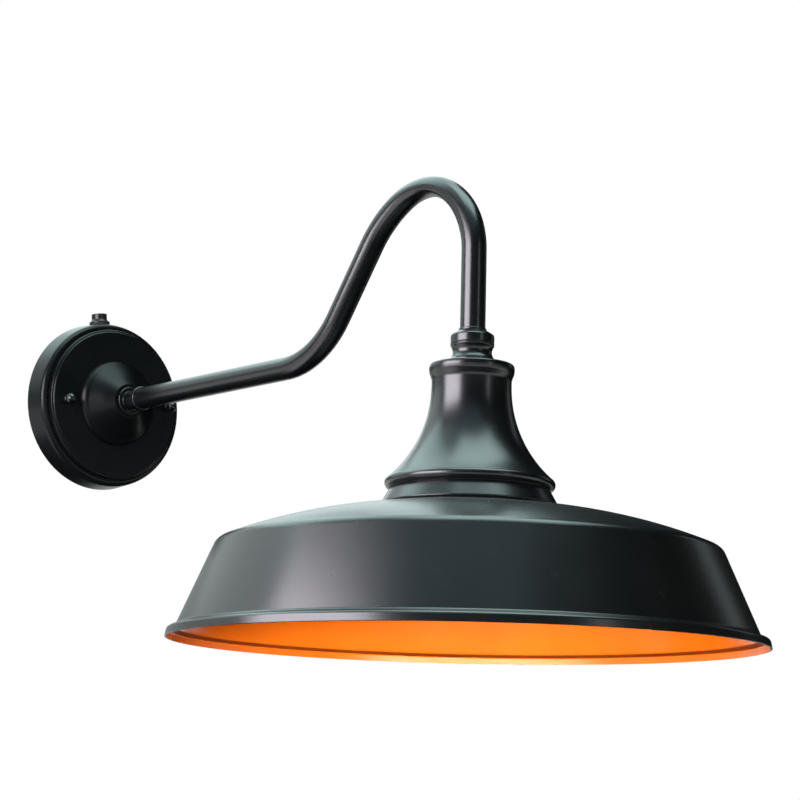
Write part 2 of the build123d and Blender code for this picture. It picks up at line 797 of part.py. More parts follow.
# Socket cap: a plate with a threaded hub on the lamp nipple
with BuildPart() as socket_cap:
    with BuildSketch(lamp_section):
        with BuildLine():
            Polyline(
                (thread_bore_radius, lamp_nut_bottom),
                (socket_hub_radius, lamp_nut_bottom),
                (socket_hub_radius, socket_cap_top),
                (socket_cap_radius, socket_cap_top),
                (socket_cap_radius, socket_top),
                (thread_bore_radius, socket_top),
                close=True,
            )
        make_face()
    revolve(axis=lamp_axis)
    with BuildSketch(lamp_plane(socket_cap_top)):
        with PolarLocations(socket_screw_circle, 2, start_angle=90):
            Circle(socket_screw_radius + hole_clearance)
    extrude(amount=-socket_cap_thickness, mode=Mode.SUBTRACT)
finish(socket_cap, "socket_cap")

# Socket body: a porcelain cup with a guide for the contact in its roof
shell_outer_radius = shell_bore_radius + shell_sheet
with BuildPart() as socket_body:
    with BuildSketch(lamp_section) as socket_profile:
        with BuildLine():
            Polyline(
                (contact_stem_radius + sliding_clearance, socket_top),
                (socket_body_radius, socket_top),
                (socket_body_radius, socket_mouth),
                (shell_outer_radius + fit_clearance, socket_mouth),
                (shell_outer_radius + fit_clearance, socket_ceiling),
                (contact_stem_radius + sliding_clearance, socket_ceiling),
                close=True,
            )
        make_face()
        fillet(corner(socket_profile, socket_body_radius, socket_top), socket_body_round)
        fillet(corner(socket_profile, socket_body_radius, socket_mouth), socket_body_round)
    revolve(axis=lamp_axis)
    with BuildSketch(lamp_plane(socket_top)):
        with PolarLocations(socket_screw_circle, 2, start_angle=90):
            Circle(socket_screw_radius + thread_clearance)
    extrude(amount=-(socket_screw_depth + hole_clearance), mode=Mode.SUBTRACT)
finish(socket_body, "socket_body")

# Socket screws: two pan-head screws through the cap into the porcelain
with BuildPart() as socket_screws:
    with BuildSketch(lamp_plane(socket_top - socket_screw_depth)):
        with PolarLocations(socket_screw_circle, 2, start_angle=90):
            Circle(socket_screw_radius)
    extrude(amount=socket_screw_depth + socket_cap_thickness)
    with BuildSketch(lamp_plane(socket_cap_top)):
        with PolarLocations(socket_screw_circle, 2, start_angle=90):
            Circle(socket_screw_head_radius)
    extrude(amount=socket_screw_head_height)
finish(socket_screws, "socket_screws")

# Screw shell: the brass sleeve that takes the bulb's cap, seated on the socket's ceiling
with BuildPart() as screw_shell:
    with BuildSketch(lamp_section):
        with BuildLine():
            Polyline(
                (shell_eye_radius, socket_ceiling),
                (shell_outer_radius, socket_ceiling),
                (shell_outer_radius, socket_ceiling - shell_length),
                (shell_bore_radius, socket_ceiling - shell_length),
                (shell_bore_radius, socket_ceiling - shell_sheet),
                (shell_eye_radius, socket_ceiling - shell_sheet),
                close=True,
            )
        make_face()
    revolve(axis=lamp_axis)
finish(screw_shell, "screw_shell")

# Centre contact: a disc on a stem that slides in the socket's roof
with BuildPart() as centre_contact:
    with BuildSketch(lamp_plane(contact_face)):
        Circle(contact_disc_radius)
    extrude(amount=contact_disc_thickness)
    with BuildSketch(lamp_plane(contact_disc_top)):
        Circle(contact_stem_radius)
    extrude(amount=contact_spring_length + contact_stem_engagement)
finish(centre_contact, "centre_contact")

# Contact spring: the space of the coil between the socket's ceiling and the contact's disc
spring_bore_radius = contact_stem_radius + contact_spring_gap
with BuildPart() as contact_spring:
    with BuildSketch(lamp_plane(contact_disc_top)):
        Circle(spring_bore_radius + contact_spring_wire)
        Circle(spring_bore_radius, mode=Mode.SUBTRACT)
    extrude(amount=contact_spring_length)
finish(contact_spring, "contact_spring")

# Shade: one spun sheet, from its flange under the neck's ledge down a flared collar and a low dome to its lip
shade_dome_half = (shade_shoulder_radius - shade_foot_radius) / 2
shade_dome_middle = shade_foot_radius + shade_dome_half
shade_dome_corner = (shade_dome_top + shade_shoulder) / 2 + shade_dome_rise
shade_dome_near_slope = atan2(shade_dome_top - shade_dome_corner, shade_dome_half)
shade_dome_far_slope = atan2(shade_dome_corner - shade_shoulder, shade_dome_half)
shade_dome_turn = shade_dome_far_slope - shade_dome_near_slope
shade_dome_radius = shade_dome_share * shade_dome_half / tan(shade_dome_turn / 2)
with BuildPart() as shade:
    with BuildSketch(lamp_section):
        with BuildLine():
            FilletPolyline(
                (shade_collar_radius - shade_flange_width, shade_top),
                (shade_collar_radius, shade_top),
                (shade_collar_radius, shade_top - shade_collar_overlap),
                (shade_foot_radius, shade_dome_top),
                (shade_dome_middle, shade_dome_corner),
                (shade_shoulder_radius, shade_shoulder),
                (shade_crease_radius, shade_crease),
                (shade_brim_radius, shade_brim),
                (shade_rim_radius, shade_rim),
                radius=[
                    shade_collar_round,
                    shade_collar_round,
                    shade_foot_round,
                    shade_dome_radius,
                    shade_shoulder_round,
                    shade_crease_round,
                    shade_brim_round,
                ],
            )
            offset(amount=shade_sheet, side=Side.RIGHT)
        make_face()
    revolve(axis=lamp_axis)
    with BuildSketch(lamp_plane(shade_top)):
        with PolarLocations(shade_screw_circle, shade_screw_count):
            Circle(shade_screw_radius + hole_clearance)
    extrude(amount=-shade_sheet, mode=Mode.SUBTRACT)
finish(shade, "shade")

# Shade screws: pan-head screws from inside the shade up into the neck's ledge
shade_flange_bottom = shade_top - shade_sheet
with BuildPart() as shade_screws:
    with BuildSketch(lamp_plane(shade_flange_bottom)):
        with PolarLocations(shade_screw_circle, shade_screw_count):
            Circle(shade_screw_radius)
    extrude(amount=shade_sheet + shade_screw_depth)
    with BuildSketch(lamp_plane(shade_flange_bottom)):
        with PolarLocations(shade_screw_circle, shade_screw_count):
            Circle(shade_screw_head_radius)
    extrude(amount=-shade_screw_head_height)
finish(shade_screws, "shade_screws")

# Bulb: tip contact, insulator, screw cap, body and globe
bulb_cap_radius = shell_bore_radius - bulb_cap_clearance
with BuildPart() as bulb_tip:
    with BuildSketch(lamp_plane(bulb_insulator_top)):
        Circle(bulb_tip_radius)
    extrude(amount=bulb_tip_height)
finish(bulb_tip, "bulb_tip")

with BuildPart() as bulb_insulator:
    with BuildSketch(lamp_section):
        with BuildLine():
            Polyline(
                (0, bulb_insulator_top),
                (bulb_tip_radius, bulb_insulator_top),
                (bulb_insulator_radius, bulb_cap_top),
                (0, bulb_cap_top),
                close=True,
            )
        make_face()
    revolve(axis=lamp_axis)
finish(bulb_insulator, "bulb_insulator")

with BuildPart() as bulb_cap:
    with BuildSketch(lamp_section):
        with BuildLine():
            Polyline(
                (0, bulb_cap_top),
                (bulb_cap_radius, bulb_cap_top),
                (bulb_cap_radius, bulb_body_top),
                (bulb_cap_radius - bulb_cap_sheet, bulb_body_top),
                (bulb_cap_radius - bulb_cap_sheet, bulb_cap_top - bulb_cap_sheet),
                (0, bulb_cap_top - bulb_cap_sheet),
                close=True,
            )
        make_face()
    revolve(axis=lamp_axis)
finish(bulb_cap, "bulb_cap")

bulb_body_bore = bulb_body_radius - bulb_wall
bulb_neck_bore = bulb_neck_radius - bulb_wall
bulb_body_ceiling = bulb_body_top - bulb_wall
with BuildPart() as bulb_body:
    with BuildSketch(lamp_section):
        with BuildLine():
            Polyline(
                (bulb_neck_bore, bulb_body_ceiling),
                (0, bulb_body_ceiling),
                (0, bulb_body_top),
                (bulb_neck_radius, bulb_body_top),
            )
            TangentArc((bulb_neck_radius, bulb_body_top), (bulb_body_radius, bulb_globe_top), tangent=(0, -1))
            Line((bulb_body_radius, bulb_globe_top), (bulb_body_bore, bulb_globe_top))
            TangentArc((bulb_neck_bore, bulb_body_ceiling), (bulb_body_bore, bulb_globe_top), tangent=(0, -1))
        make_face()
    revolve(axis=lamp_axis)
finish(bulb_body, "bulb_body")

bulb_globe_end = bulb_globe_top - bulb_globe_height
bulb_globe_centre = bulb_globe_end + bulb_globe_radius
with BuildPart() as bulb_globe:
    with BuildSketch(lamp_section):
        with BuildLine():
            for radius, rim in (
                (bulb_globe_radius, bulb_body_radius),
                (bulb_globe_radius - bulb_wall, bulb_body_bore),
            ):
                ThreePointArc(
                    (0, bulb_globe_centre - radius),
                    (radius * sin(pi / 4), bulb_globe_centre - radius * cos(pi / 4)),
                    (radius, bulb_globe_centre),
                )
                TangentArc((radius, bulb_globe_centre), (rim, bulb_globe_top), tangent=(0, 1))
            Line((bulb_body_radius, bulb_globe_top), (bulb_body_bore, bulb_globe_top))
            Line((0, bulb_globe_end), (0, bulb_globe_end + bulb_wall))
        make_face()
    revolve(axis=lamp_axis)
finish(bulb_globe, "bulb_globe")

# Leads: each runs from a wire connector in the canopy, through the nipples and the arm, to the socket
for lead_name, lead_side in (("live_lead", 1), ("neutral_lead", -1)):
    lead_plane = arm_section.offset(lead_side * lead_offset)
    lead_tip = lead_side * (lead_bend_radius + lead_tail)
    with BuildPart() as lead:
        with BuildLine(lead_plane) as lead_line:
            tail = Line((lead_turn, lead_tip), (lead_turn, lead_side * lead_bend_radius))
            turn = JernArc(tail @ 1, tail % 1, lead_bend_radius, lead_side * 90)
            arm_bends(turn @ 1, socket_top + lead_end_gap)
        with BuildSketch(Plane(origin=lead_line.line @ 0, z_dir=lead_line.line % 0)):
            Circle(lead_radius)
        sweep(path=lead_line.line)
    finish(lead, lead_name)

# Wire connectors: two tapered caps, one over the tail of each lead
connector_bottom = lead_bend_radius + lead_tail - connector_depth
with BuildPart() as wire_connectors:
    for side in (1, -1):
        connector_foot = (-side * lead_offset, -lead_turn, side * connector_bottom)
        with BuildSketch(Plane(origin=connector_foot, x_dir=(1, 0, 0), z_dir=(0, 0, side))):
            Circle(connector_radius)
        with BuildSketch(
            Plane(origin=connector_foot, x_dir=(1, 0, 0), z_dir=(0, 0, side)).offset(connector_height)
        ):
            Circle(connector_top_radius)
        loft()
        with BuildSketch(Plane(origin=connector_foot, x_dir=(1, 0, 0), z_dir=(0, 0, side))):
            Circle(lead_radius + fit_clearance)
        extrude(amount=connector_depth + lead_end_gap, mode=Mode.SUBTRACT)
    fillet(wire_connectors.faces().sort_by(Axis.Z)[-1].edges(), connector_round)
    fillet(wire_connectors.faces().sort_by(Axis.Z)[0].edges(), connector_round)
finish(wire_connectors, "wire_connectors")

# Photocell lead: from the stem's end to the live lead's connector
photocell_lead_top = photocell_foot + photocell_up * (photocell_stem_end - lead_end_gap)
connector_tip = Vector(-lead_offset, -lead_turn, connector_bottom + connector_height + lead_end_gap)
with BuildPart() as photocell_lead:
    with BuildLine() as photocell_lead_line:
        Line(photocell_lead_top, connector_tip)
    with BuildSketch(Plane(origin=photocell_lead_top, z_dir=connector_tip - photocell_lead_top)):
        Circle(photocell_lead_radius)
    sweep(path=photocell_lead_line.line)
finish(photocell_lead, "photocell_lead")

print(f"reach {reach:.2f}, arm end {arm_end:.2f}, socket ceiling {socket_ceiling:.2f}")
print(f"shade rim {shade_rim:.2f}, bulb end {bulb_globe_end:.2f}")
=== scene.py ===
"""Looks of the gooseneck barn wall light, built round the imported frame.

The wall is the plane y = 0, the arm runs out along -Y and +Z is up. The pieces' sizes are in millimetres and
are turned into metres where a mesh is made. Places along the wall axis are distances s = -y. The camera, the
floor, the panels and the lamps are in metres.
"""
import math

import bmesh
import bpy
from mathutils import Matrix, Vector


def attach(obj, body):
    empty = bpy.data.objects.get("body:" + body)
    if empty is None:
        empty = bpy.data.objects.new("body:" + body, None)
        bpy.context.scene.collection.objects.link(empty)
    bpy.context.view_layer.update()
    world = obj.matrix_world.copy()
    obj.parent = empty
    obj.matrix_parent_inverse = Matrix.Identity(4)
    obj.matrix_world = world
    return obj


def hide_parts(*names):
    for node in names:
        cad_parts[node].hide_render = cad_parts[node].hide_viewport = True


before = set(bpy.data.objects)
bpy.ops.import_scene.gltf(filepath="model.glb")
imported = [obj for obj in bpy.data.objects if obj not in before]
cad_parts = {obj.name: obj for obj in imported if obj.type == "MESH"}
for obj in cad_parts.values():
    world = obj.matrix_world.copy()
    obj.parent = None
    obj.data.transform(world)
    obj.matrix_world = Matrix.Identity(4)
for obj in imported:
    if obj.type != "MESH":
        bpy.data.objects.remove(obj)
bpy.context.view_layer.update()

MM = 0.001
TAU = 2 * math.pi
SIDES = (1, -1)

# Distances from the wall
GASKET_FACE = 1.5
BAR_FACE = 2.0
CANOPY_FACE = 24.2
FLANGE_FACE = 41.4
WALL_NIPPLE_END = 51.0
ARM_START = 55.0

# Heights on the lamp axis
ARM_FOOT = -0.69
NECK_TOP = -21.89
SOCKET_CAP_TOP = -29.59
SOCKET_CAP_STEP = -32.49
SOCKET_TOP = -34.49
SHELL_TOP = -41.49
INSULATOR_TOP = -51.59
CAP_TOP = -55.39
CAP_FOOT = -77.39
SHADE_SEAT = -91.99
GLOBE_MIDDLE = -127.19

# Radii that several pieces share
NIPPLE_FIT = 5.05
NIPPLE_HOLE = 5.3
NIPPLE_BORE = 3.6
STUD_FIT = 2.05
ARM_RING_BORE = 7.8

# Frames for turned pieces: origin, axis, and the two directions across it
REACH = 402.996
WALL = (Vector((0, 0, 0)), Vector((0, -1, 0)), Vector((1, 0, 0)), Vector((0, 0, 1)))
LAMP = (Vector((0, -REACH, 0)), Vector((0, 0, 1)), Vector((1, 0, 0)), Vector((0, 1, 0)))
CELL_TILT = math.radians(7)
CELL_FROM_WALL = 8.5
CELL = (
    Vector((0, -CELL_FROM_WALL, 0)),
    Vector((-math.sin(CELL_TILT), 0, math.cos(CELL_TILT))),
    Vector((math.cos(CELL_TILT), 0, math.sin(CELL_TILT))),
    Vector((0, -1, 0)),
)
STUD_TURN = math.radians(4)
STUD_RADIUS = 44.45


def stud_frame(side):
    """The frame of one canopy stud: side is 1 or -1."""
    place = Vector((math.cos(STUD_TURN), 0, math.sin(STUD_TURN))) * (side * STUD_RADIUS)
    return (place, WALL[1], WALL[2], WALL[3])


def moved(base, across, up):
    """A frame moved across its own axis."""
    return (base[0] + base[2] * across + base[3] * up, base[1], base[2], base[3])


# Materials

COLOUR_NOISE = (0.35, 0.65)
ROUGH_NOISE = (0.3, 0.7)
ROUGH_FINER = 4


def new_material(name):
    """A node material with its tree."""
    material = bpy.data.materials.new(name)
    material.use_nodes = True
    return material, material.node_tree


def add_node(tree, kind, **values):
    """A node with some of its inputs set."""
    node = tree.nodes.new(kind)
    for key, value in values.items():
        node.inputs[key.replace("_", " ")].default_value = value
    return node


def noise(tree, coords, scale, detail):
    """The grey value of a noise texture in object space."""
    node = add_node(tree, "ShaderNodeTexNoise", Scale=scale, Detail=detail)
    tree.links.new(coords.outputs["Object"], node.inputs["Vector"])
    return node.outputs["Fac"]


def ramp(tree, source, low, high):
    """Two colours mixed by a grey value."""
    node = tree.nodes.new("ShaderNodeValToRGB")
    for element, place, colour in zip(node.color_ramp.elements, COLOUR_NOISE, (low, high)):
        element.position = place
        element.color = (*colour, 1)
    tree.links.new(source, node.inputs["Fac"])
    return node.outputs["Color"]


def spread(tree, source, low, high):
    """A grey value mapped to a range."""
    start, end = ROUGH_NOISE
    node = add_node(tree, "ShaderNodeMapRange", From_Min=start, From_Max=end, To_Min=low, To_Max=high)
    tree.links.new(source, node.inputs["Value"])
    return node.outputs["Result"]


def surface(name, low, high, rough, patch, grain, bump, depth=0.0001, **sockets):
    """A surface with patches of colour and roughness and a fine grain in its bump."""
    material, tree = new_material(name)
    shader = tree.nodes["Principled BSDF"]
    coords = tree.nodes.new("ShaderNodeTexCoord")
    colour = ramp(tree, noise(tree, coords, patch, 3.0), low, high)
    tree.links.new(colour, shader.inputs["Base Color"])
    roughness = spread(tree, noise(tree, coords, patch * ROUGH_FINER, 4.0), *rough)
    tree.links.new(roughness, shader.inputs["Roughness"])
    relief = add_node(tree, "ShaderNodeBump", Strength=bump, Distance=depth)
    tree.links.new(noise(tree, coords, grain, 2.0), relief.inputs["Height"])
    tree.links.new(relief.outputs["Normal"], shader.inputs["Normal"])
    for key, value in sockets.items():
        shader.inputs[key.replace("_", " ")].default_value = value
    return material


POWDER = surface(
    "powder_coat", (0.0012, 0.0017, 0.0021), (0.0020, 0.0026, 0.0030), (0.262, 0.274),
    25.0, 900.0, 0.01, Specular_IOR_Level=1.0,
)
# The canopy and the flange have the same powder coat as the arm and the shade. These two copies turn its
# reflection down and change its colour a little, which paints shade on the canopy and the flange
CANOPY_SHADED_POWDER = surface(
    "canopy_powder_coat_shaded_copy", (0.0030, 0.0040, 0.0046), (0.0040, 0.0052, 0.0058), (0.27, 0.285),
    25.0, 900.0, 0.01, Specular_IOR_Level=0.32,
)
FLANGE_SHADED_POWDER = surface(
    "flange_powder_coat_shaded_copy", (0.0022, 0.0030, 0.0034), (0.0030, 0.0040, 0.0045), (0.29, 0.31),
    25.0, 900.0, 0.01, Specular_IOR_Level=0.27,
)
ENAMEL = surface(
    "orange_enamel", (0.86, 0.165, 0.003), (0.92, 0.19, 0.005), (0.22, 0.26),
    18.0, 700.0, 0.03, Specular_IOR_Level=0.4,
)
# A darker orange for the crease of the shade's ledge: a painted shadow, since the real enamel there is the
# same orange as the rest
CREASE_SHADOW_ENAMEL = surface(
    "crease_shadow_enamel", (0.25, 0.037, 0.002), (0.32, 0.050, 0.003), (0.40, 0.48),
    18.0, 700.0, 0.03, Specular_IOR_Level=0.1,
)
FOAM = surface(
    "foam", (0.010, 0.010, 0.010), (0.035, 0.035, 0.034), (0.85, 0.95), 400.0, 2600.0, 0.6, depth=0.0004,
)
RUBBER = surface(
    "black_rubber", (0.012, 0.012, 0.012), (0.020, 0.020, 0.020), (0.6, 0.72), 200.0, 1800.0, 0.2,
)
ZINC = surface(
    "zinc_steel", (0.50, 0.50, 0.47), (0.66, 0.66, 0.64), (0.28, 0.42), 90.0, 900.0, 0.12, Metallic=1.0,
)
GREEN = surface(
    "green_steel", (0.02, 0.16, 0.05), (0.05, 0.27, 0.09), (0.28, 0.40), 260.0, 1400.0, 0.1, Metallic=0.7,
)
BLACK = surface(
    "black_plastic", (0.008, 0.008, 0.009), (0.014, 0.014, 0.015), (0.22, 0.32), 300.0, 2200.0, 0.1,
)
LENS = surface(
    "clear_lens", (0.66, 0.80, 0.70), (0.76, 0.87, 0.78), (0.04, 0.10), 200.0, 1200.0, 0.05,
    Transmission_Weight=0.7, IOR=1.46,
)
SENSOR = surface("sensor", (0.22, 0.20, 0.11), (0.42, 0.37, 0.24), (0.45, 0.6), 900.0, 3000.0, 0.2)
PORCELAIN = surface("porcelain", (0.80, 0.79, 0.74), (0.88, 0.87, 0.83), (0.10, 0.20), 70.0, 500.0, 0.06)
BRASS = surface(
    "brass", (0.60, 0.39, 0.13), (0.76, 0.54, 0.23), (0.22, 0.36), 120.0, 1100.0, 0.1, Metallic=1.0,
)
CAP_METAL = surface(
    "cap_metal", (0.62, 0.62, 0.63), (0.76, 0.76, 0.77), (0.20, 0.34), 140.0, 1000.0, 0.1, Metallic=1.0,
)
WHITE = surface("white_plastic", (0.80, 0.80, 0.79), (0.86, 0.86, 0.85), (0.26, 0.36), 80.0, 1300.0, 0.06)
GLOBE = surface(
    "frosted_globe", (0.84, 0.84, 0.81), (0.90, 0.90, 0.87), (0.38, 0.48), 60.0, 2400.0, 0.1,
    Subsurface_Weight=0.25, Subsurface_Scale=0.004,
)
LIVE = surface(
    "black_insulation", (0.010, 0.010, 0.010), (0.018, 0.018, 0.018), (0.38, 0.5), 200.0, 1500.0, 0.1,
)
RED = surface("red_insulation", (0.36, 0.016, 0.016), (0.46, 0.03, 0.028), (0.36, 0.48), 200.0, 1500.0, 0.1)
NEUTRAL = surface(
    "white_insulation", (0.74, 0.74, 0.71), (0.84, 0.84, 0.82), (0.36, 0.48), 200.0, 1500.0, 0.1,
)
CONNECTOR = surface(
    "connector_plastic", (0.72, 0.22, 0.015), (0.82, 0.28, 0.025), (0.35, 0.5), 160.0, 1500.0, 0.15,
)

# Meshes

SHARP = 32
NUT_SHARP = 20
WELD = 1e-8
ON_AXIS = 1e-6


def stand_in_scene(name, data):
    """A new object in the scene."""
    thing = bpy.data.objects.new(name, data)
    bpy.context.scene.collection.objects.link(thing)
    return thing


def finish_mesh(name, mesh, materials, sharp=SHARP):
    """Turn a mesh into a piece with smooth shading and outward normals."""
    work = bmesh.new()
    work.from_mesh(mesh)
    bmesh.ops.remove_doubles(work, verts=work.verts, dist=WELD)
    bmesh.ops.recalc_face_normals(work, faces=work.faces)
    work.to_mesh(mesh)
    work.free()
    mesh.shade_smooth()
    mesh.set_sharp_from_angle(angle=math.radians(sharp))
    for material in materials:
        mesh.materials.append(material)
    return stand_in_scene(name, mesh)


def band(start_a, count_a, start_b, count_b):
    """Faces between two rings of vertices, one of which may be a single point."""
    count = max(count_a, count_b)
    if count == 1:
        return []
    faces = []
    for k in range(count):
        n = (k + 1) % count
        if count_a == 1:
            faces.append((start_a, start_b + k, start_b + n))
        elif count_b == 1:
            faces.append((start_a + k, start_b, start_a + n))
        else:
            faces.append((start_a + k, start_b + k, start_b + n, start_a + n))
    return faces


def skin(name, shells, materials, sharp=SHARP):
    """One mesh from shells. A shell is (rings, closed, slots): rings of equal length or single points."""
    verts = []
    faces = []
    slots_of_faces = []
    for rings, closed, slots in shells:
        starts = []
        for ring in rings:
            starts.append(len(verts))
            verts.extend(point * MM for point in ring)
        pairs = [(i, i + 1) for i in range(len(rings) - 1)]
        if closed:
            pairs.append((len(rings) - 1, 0))
        for number, (i, j) in enumerate(pairs):
            new_faces = band(starts[i], len(rings[i]), starts[j], len(rings[j]))
            faces += new_faces
            slots_of_faces += [slots[number] if slots else 0] * len(new_faces)
    mesh = bpy.data.meshes.new(name)
    mesh.from_pydata(verts, [], faces)
    mesh.polygons.foreach_set("material_index", slots_of_faces)
    return finish_mesh(name, mesh, materials, sharp)


def ring_at(base, radius, along, segments):
    """A ring of points round a frame's axis, or one point on it. Radius and place may depend on the angle."""
    origin, axis, across, up = base
    if not callable(radius) and radius < ON_AXIS:
        return [origin + axis * along]
    points = []
    for k in range(segments):
        angle = TAU * k / segments
        r = radius(angle) if callable(radius) else radius
        a = along(angle) if callable(along) else along
        points.append(origin + axis * a + (across * math.cos(angle) + up * math.sin(angle)) * r)
    return points


def rings_of(base, profile, segments):
    """The rings of a profile of (radius, along) points."""
    return [ring_at(base, radius, along, segments) for radius, along in profile]


def turned(base, profile, segments, slots=None):
    """The shell of a closed profile turned round a frame's axis."""
    return (rings_of(base, profile, segments), True, slots)


HOLD_GAP = 0.2
HOLD_FROM = 6 * HOLD_GAP


def held(points, closed):
    """Add points close to the ends of long straight runs, so that rounded edges don't shade into them."""
    result = []
    count = len(points)
    for i, here in enumerate(points):
        result.append(here)
        if not closed and i == count - 1:
            break
        there = points[(i + 1) % count]
        length = (there - here).length
        if length > HOLD_FROM:
            way = (there - here) / length
            result.append(here + way * HOLD_GAP)
            result.append(there - way * HOLD_GAP)
    return [tuple(point) for point in result]


def rounded(corners, steps=8, closed=True):
    """A polyline with rounded corners. A corner is (radius, along[, fillet[, its own number of steps]])."""
    points = []
    count = len(corners)
    for i, corner in enumerate(corners):
        here = Vector(corner[:2])
        fillet = corner[2] if len(corner) > 2 else 0
        if not fillet or (not closed and i in (0, count - 1)):
            points.append(here)
            continue
        back = (Vector(corners[i - 1][:2]) - here).normalized()
        ahead = (Vector(corners[(i + 1) % count][:2]) - here).normalized()
        half = back.angle(ahead) / 2
        reach = fillet / math.tan(half)
        centre = here + (back + ahead).normalized() * (fillet / math.sin(half))
        first = here + back * reach - centre
        last = here + ahead * reach - centre
        turn = first.angle_signed(last)
        count_here = corner[3] if len(corner) > 3 else steps
        for k in range(count_here + 1):
            angle = -turn * k / count_here
            c, s = math.cos(angle), math.sin(angle)
            points.append(centre + Vector((c * first.x - s * first.y, s * first.x + c * first.y)))
    return held(points, closed)


def arc(centre, radius, start, end, steps):
    """Points on an arc, angles in degrees."""
    angles = [math.radians(start + (end - start) * k / steps) for k in range(steps + 1)]
    return [(centre[0] + radius * math.cos(a), centre[1] + radius * math.sin(a)) for a in angles]


def arc_through(first, middle, last, steps):
    """Points on the arc through three points."""
    (ax, ay), (bx, by), (cx, cy) = first, middle, last
    d = 2 * (ax * (by - cy) + bx * (cy - ay) + cx * (ay - by))
    ux = ((ax**2 + ay**2) * (by - cy) + (bx**2 + by**2) * (cy - ay) + (cx**2 + cy**2) * (ay - by)) / d
    uy = ((ax**2 + ay**2) * (cx - bx) + (bx**2 + by**2) * (ax - cx) + (cx**2 + cy**2) * (bx - ax)) / d
    start = math.degrees(math.atan2(ay - uy, ax - ux))
    middle_turn = (math.degrees(math.atan2(by - uy, bx - ux)) - start) % 360
    turn = (math.degrees(math.atan2(cy - uy, cx - ux)) - start) % 360
    if middle_turn > turn:
        turn -= 360
    return arc((ux, uy), math.dist((ax, ay), (ux, uy)), start, start + turn, steps)


def thread_radius(crest, depth, pitch, along):
    """The radius of a screw thread at a place along its axis, as a function of the angle."""

    def at(angle):
        wave = math.cos(TAU * (along / pitch) - angle)
        return crest - depth * (0.5 - 0.5 * wave)

    return at


ROD_SEGMENTS = 48
ROD_STEPS_PER_TURN = 8


def threaded_rod(base, crest, depth, pitch, start, end, bore=0.0):
    """The shell of a threaded rod, or of a pipe where it has a bore. Its ends are chamfered."""
    count = max(2, round((end - start) / pitch * ROD_STEPS_PER_TURN))
    chamfered = crest - depth * 1.2
    profile = [(bore, start), (chamfered, start)]
    for k in range(1, count):
        along = start + (end - start) * k / count
        profile.append((thread_radius(crest, depth, pitch, along), along))
    profile += [(chamfered, end), (bore, end)]
    return (rings_of(base, profile, ROD_SEGMENTS), bool(bore), None)


NUT_SEGMENTS = 72
NUT_FACE = 0.95
NUT_BEVEL = 0.55


def hex_nut(base, flats, bore, start, height):
    """The shell of a hex nut with chamfered corners and a countersunk bore."""
    apothem = flats / 2
    face = apothem * NUT_FACE

    def side(angle):
        return apothem / math.cos((angle % (TAU / 6)) - TAU / 12)

    def lower(angle):
        return start + (side(angle) - face) * NUT_BEVEL

    def upper(angle):
        return start + height - (side(angle) - face) * NUT_BEVEL

    lead = min(0.5, height * 0.15)
    profile = [
        (bore, start + lead), (bore + lead, start), (face, start), (side, lower), (side, upper),
        (face, start + height), (bore + lead, start + height), (bore, start + height - lead),
    ]
    return turned(base, profile, NUT_SEGMENTS)


TEETH = 20
TOOTH_LENGTH = 1.6
TOOTH_STEEPNESS = 2.6
TOOTH_ROOT = 1.9
WASHER_SEGMENTS = 240


def toothed_washer(base, outer, bore, start, thickness):
    """The shell of an external-tooth lock washer."""

    def rim(angle):
        wave = max(-1.0, min(1.0, TOOTH_STEEPNESS * math.cos(TEETH * angle)))
        return outer - TOOTH_LENGTH * (0.5 - 0.5 * wave)

    root = outer - TOOTH_ROOT
    profile = [
        (bore, start), (root, start), (rim, start + thickness * 0.1), (rim, start + thickness * 0.9),
        (root, start + thickness), (bore, start + thickness),
    ]
    return turned(base, profile, WASHER_SEGMENTS)


def block(base, size, place):
    """A plain box in a frame, used only to cut other pieces. Place is its middle: across, up, along."""
    work = bmesh.new()
    bmesh.ops.create_cube(work, size=1.0)
    origin, axis, across, up = base
    for vert in work.verts:
        local = [vert.co[i] * size[i] + place[i] for i in range(3)]
        vert.co = (origin + across * local[0] + up * local[1] + axis * local[2]) * MM
    mesh = bpy.data.meshes.new("cutter")
    work.to_mesh(mesh)
    work.free()
    return stand_in_scene("cutter", mesh)


def evaluated_mesh(thing):
    """The mesh that an object's curve or modifiers make."""
    bpy.context.view_layer.update()
    return bpy.data.meshes.new_from_object(thing.evaluated_get(bpy.context.evaluated_depsgraph_get()))


def cut(piece, cutters):
    """Cut shapes out of a piece and keep the result as its mesh."""
    for cutter in cutters:
        modifier = piece.modifiers.new("cut", "BOOLEAN")
        modifier.operation = "DIFFERENCE"
        modifier.solver = "EXACT"
        modifier.object = cutter
    result = evaluated_mesh(piece)
    piece.modifiers.clear()
    piece.data = result
    result.shade_smooth()
    result.set_sharp_from_angle(angle=math.radians(SHARP))
    for cutter in cutters:
        bpy.data.objects.remove(cutter, do_unlink=True)
    return piece


def settle(piece, body, node):
    """Attach a piece to its body and hide the CAD node that it stands for."""
    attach(piece, body)
    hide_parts(node)
    return piece


def shaped(name, shells, material, body, sharp=SHARP):
    """A piece made of shells that stands for the node of its own name."""
    return settle(skin(name + ".look", shells, [material], sharp), body, name)


def lathe(name, base, profile, material, body, segments=128):
    """A turned piece that stands for the node of its own name."""
    return shaped(name, [turned(base, profile, segments)], material, body)


# Wall side: gasket, canopy, flange and collar

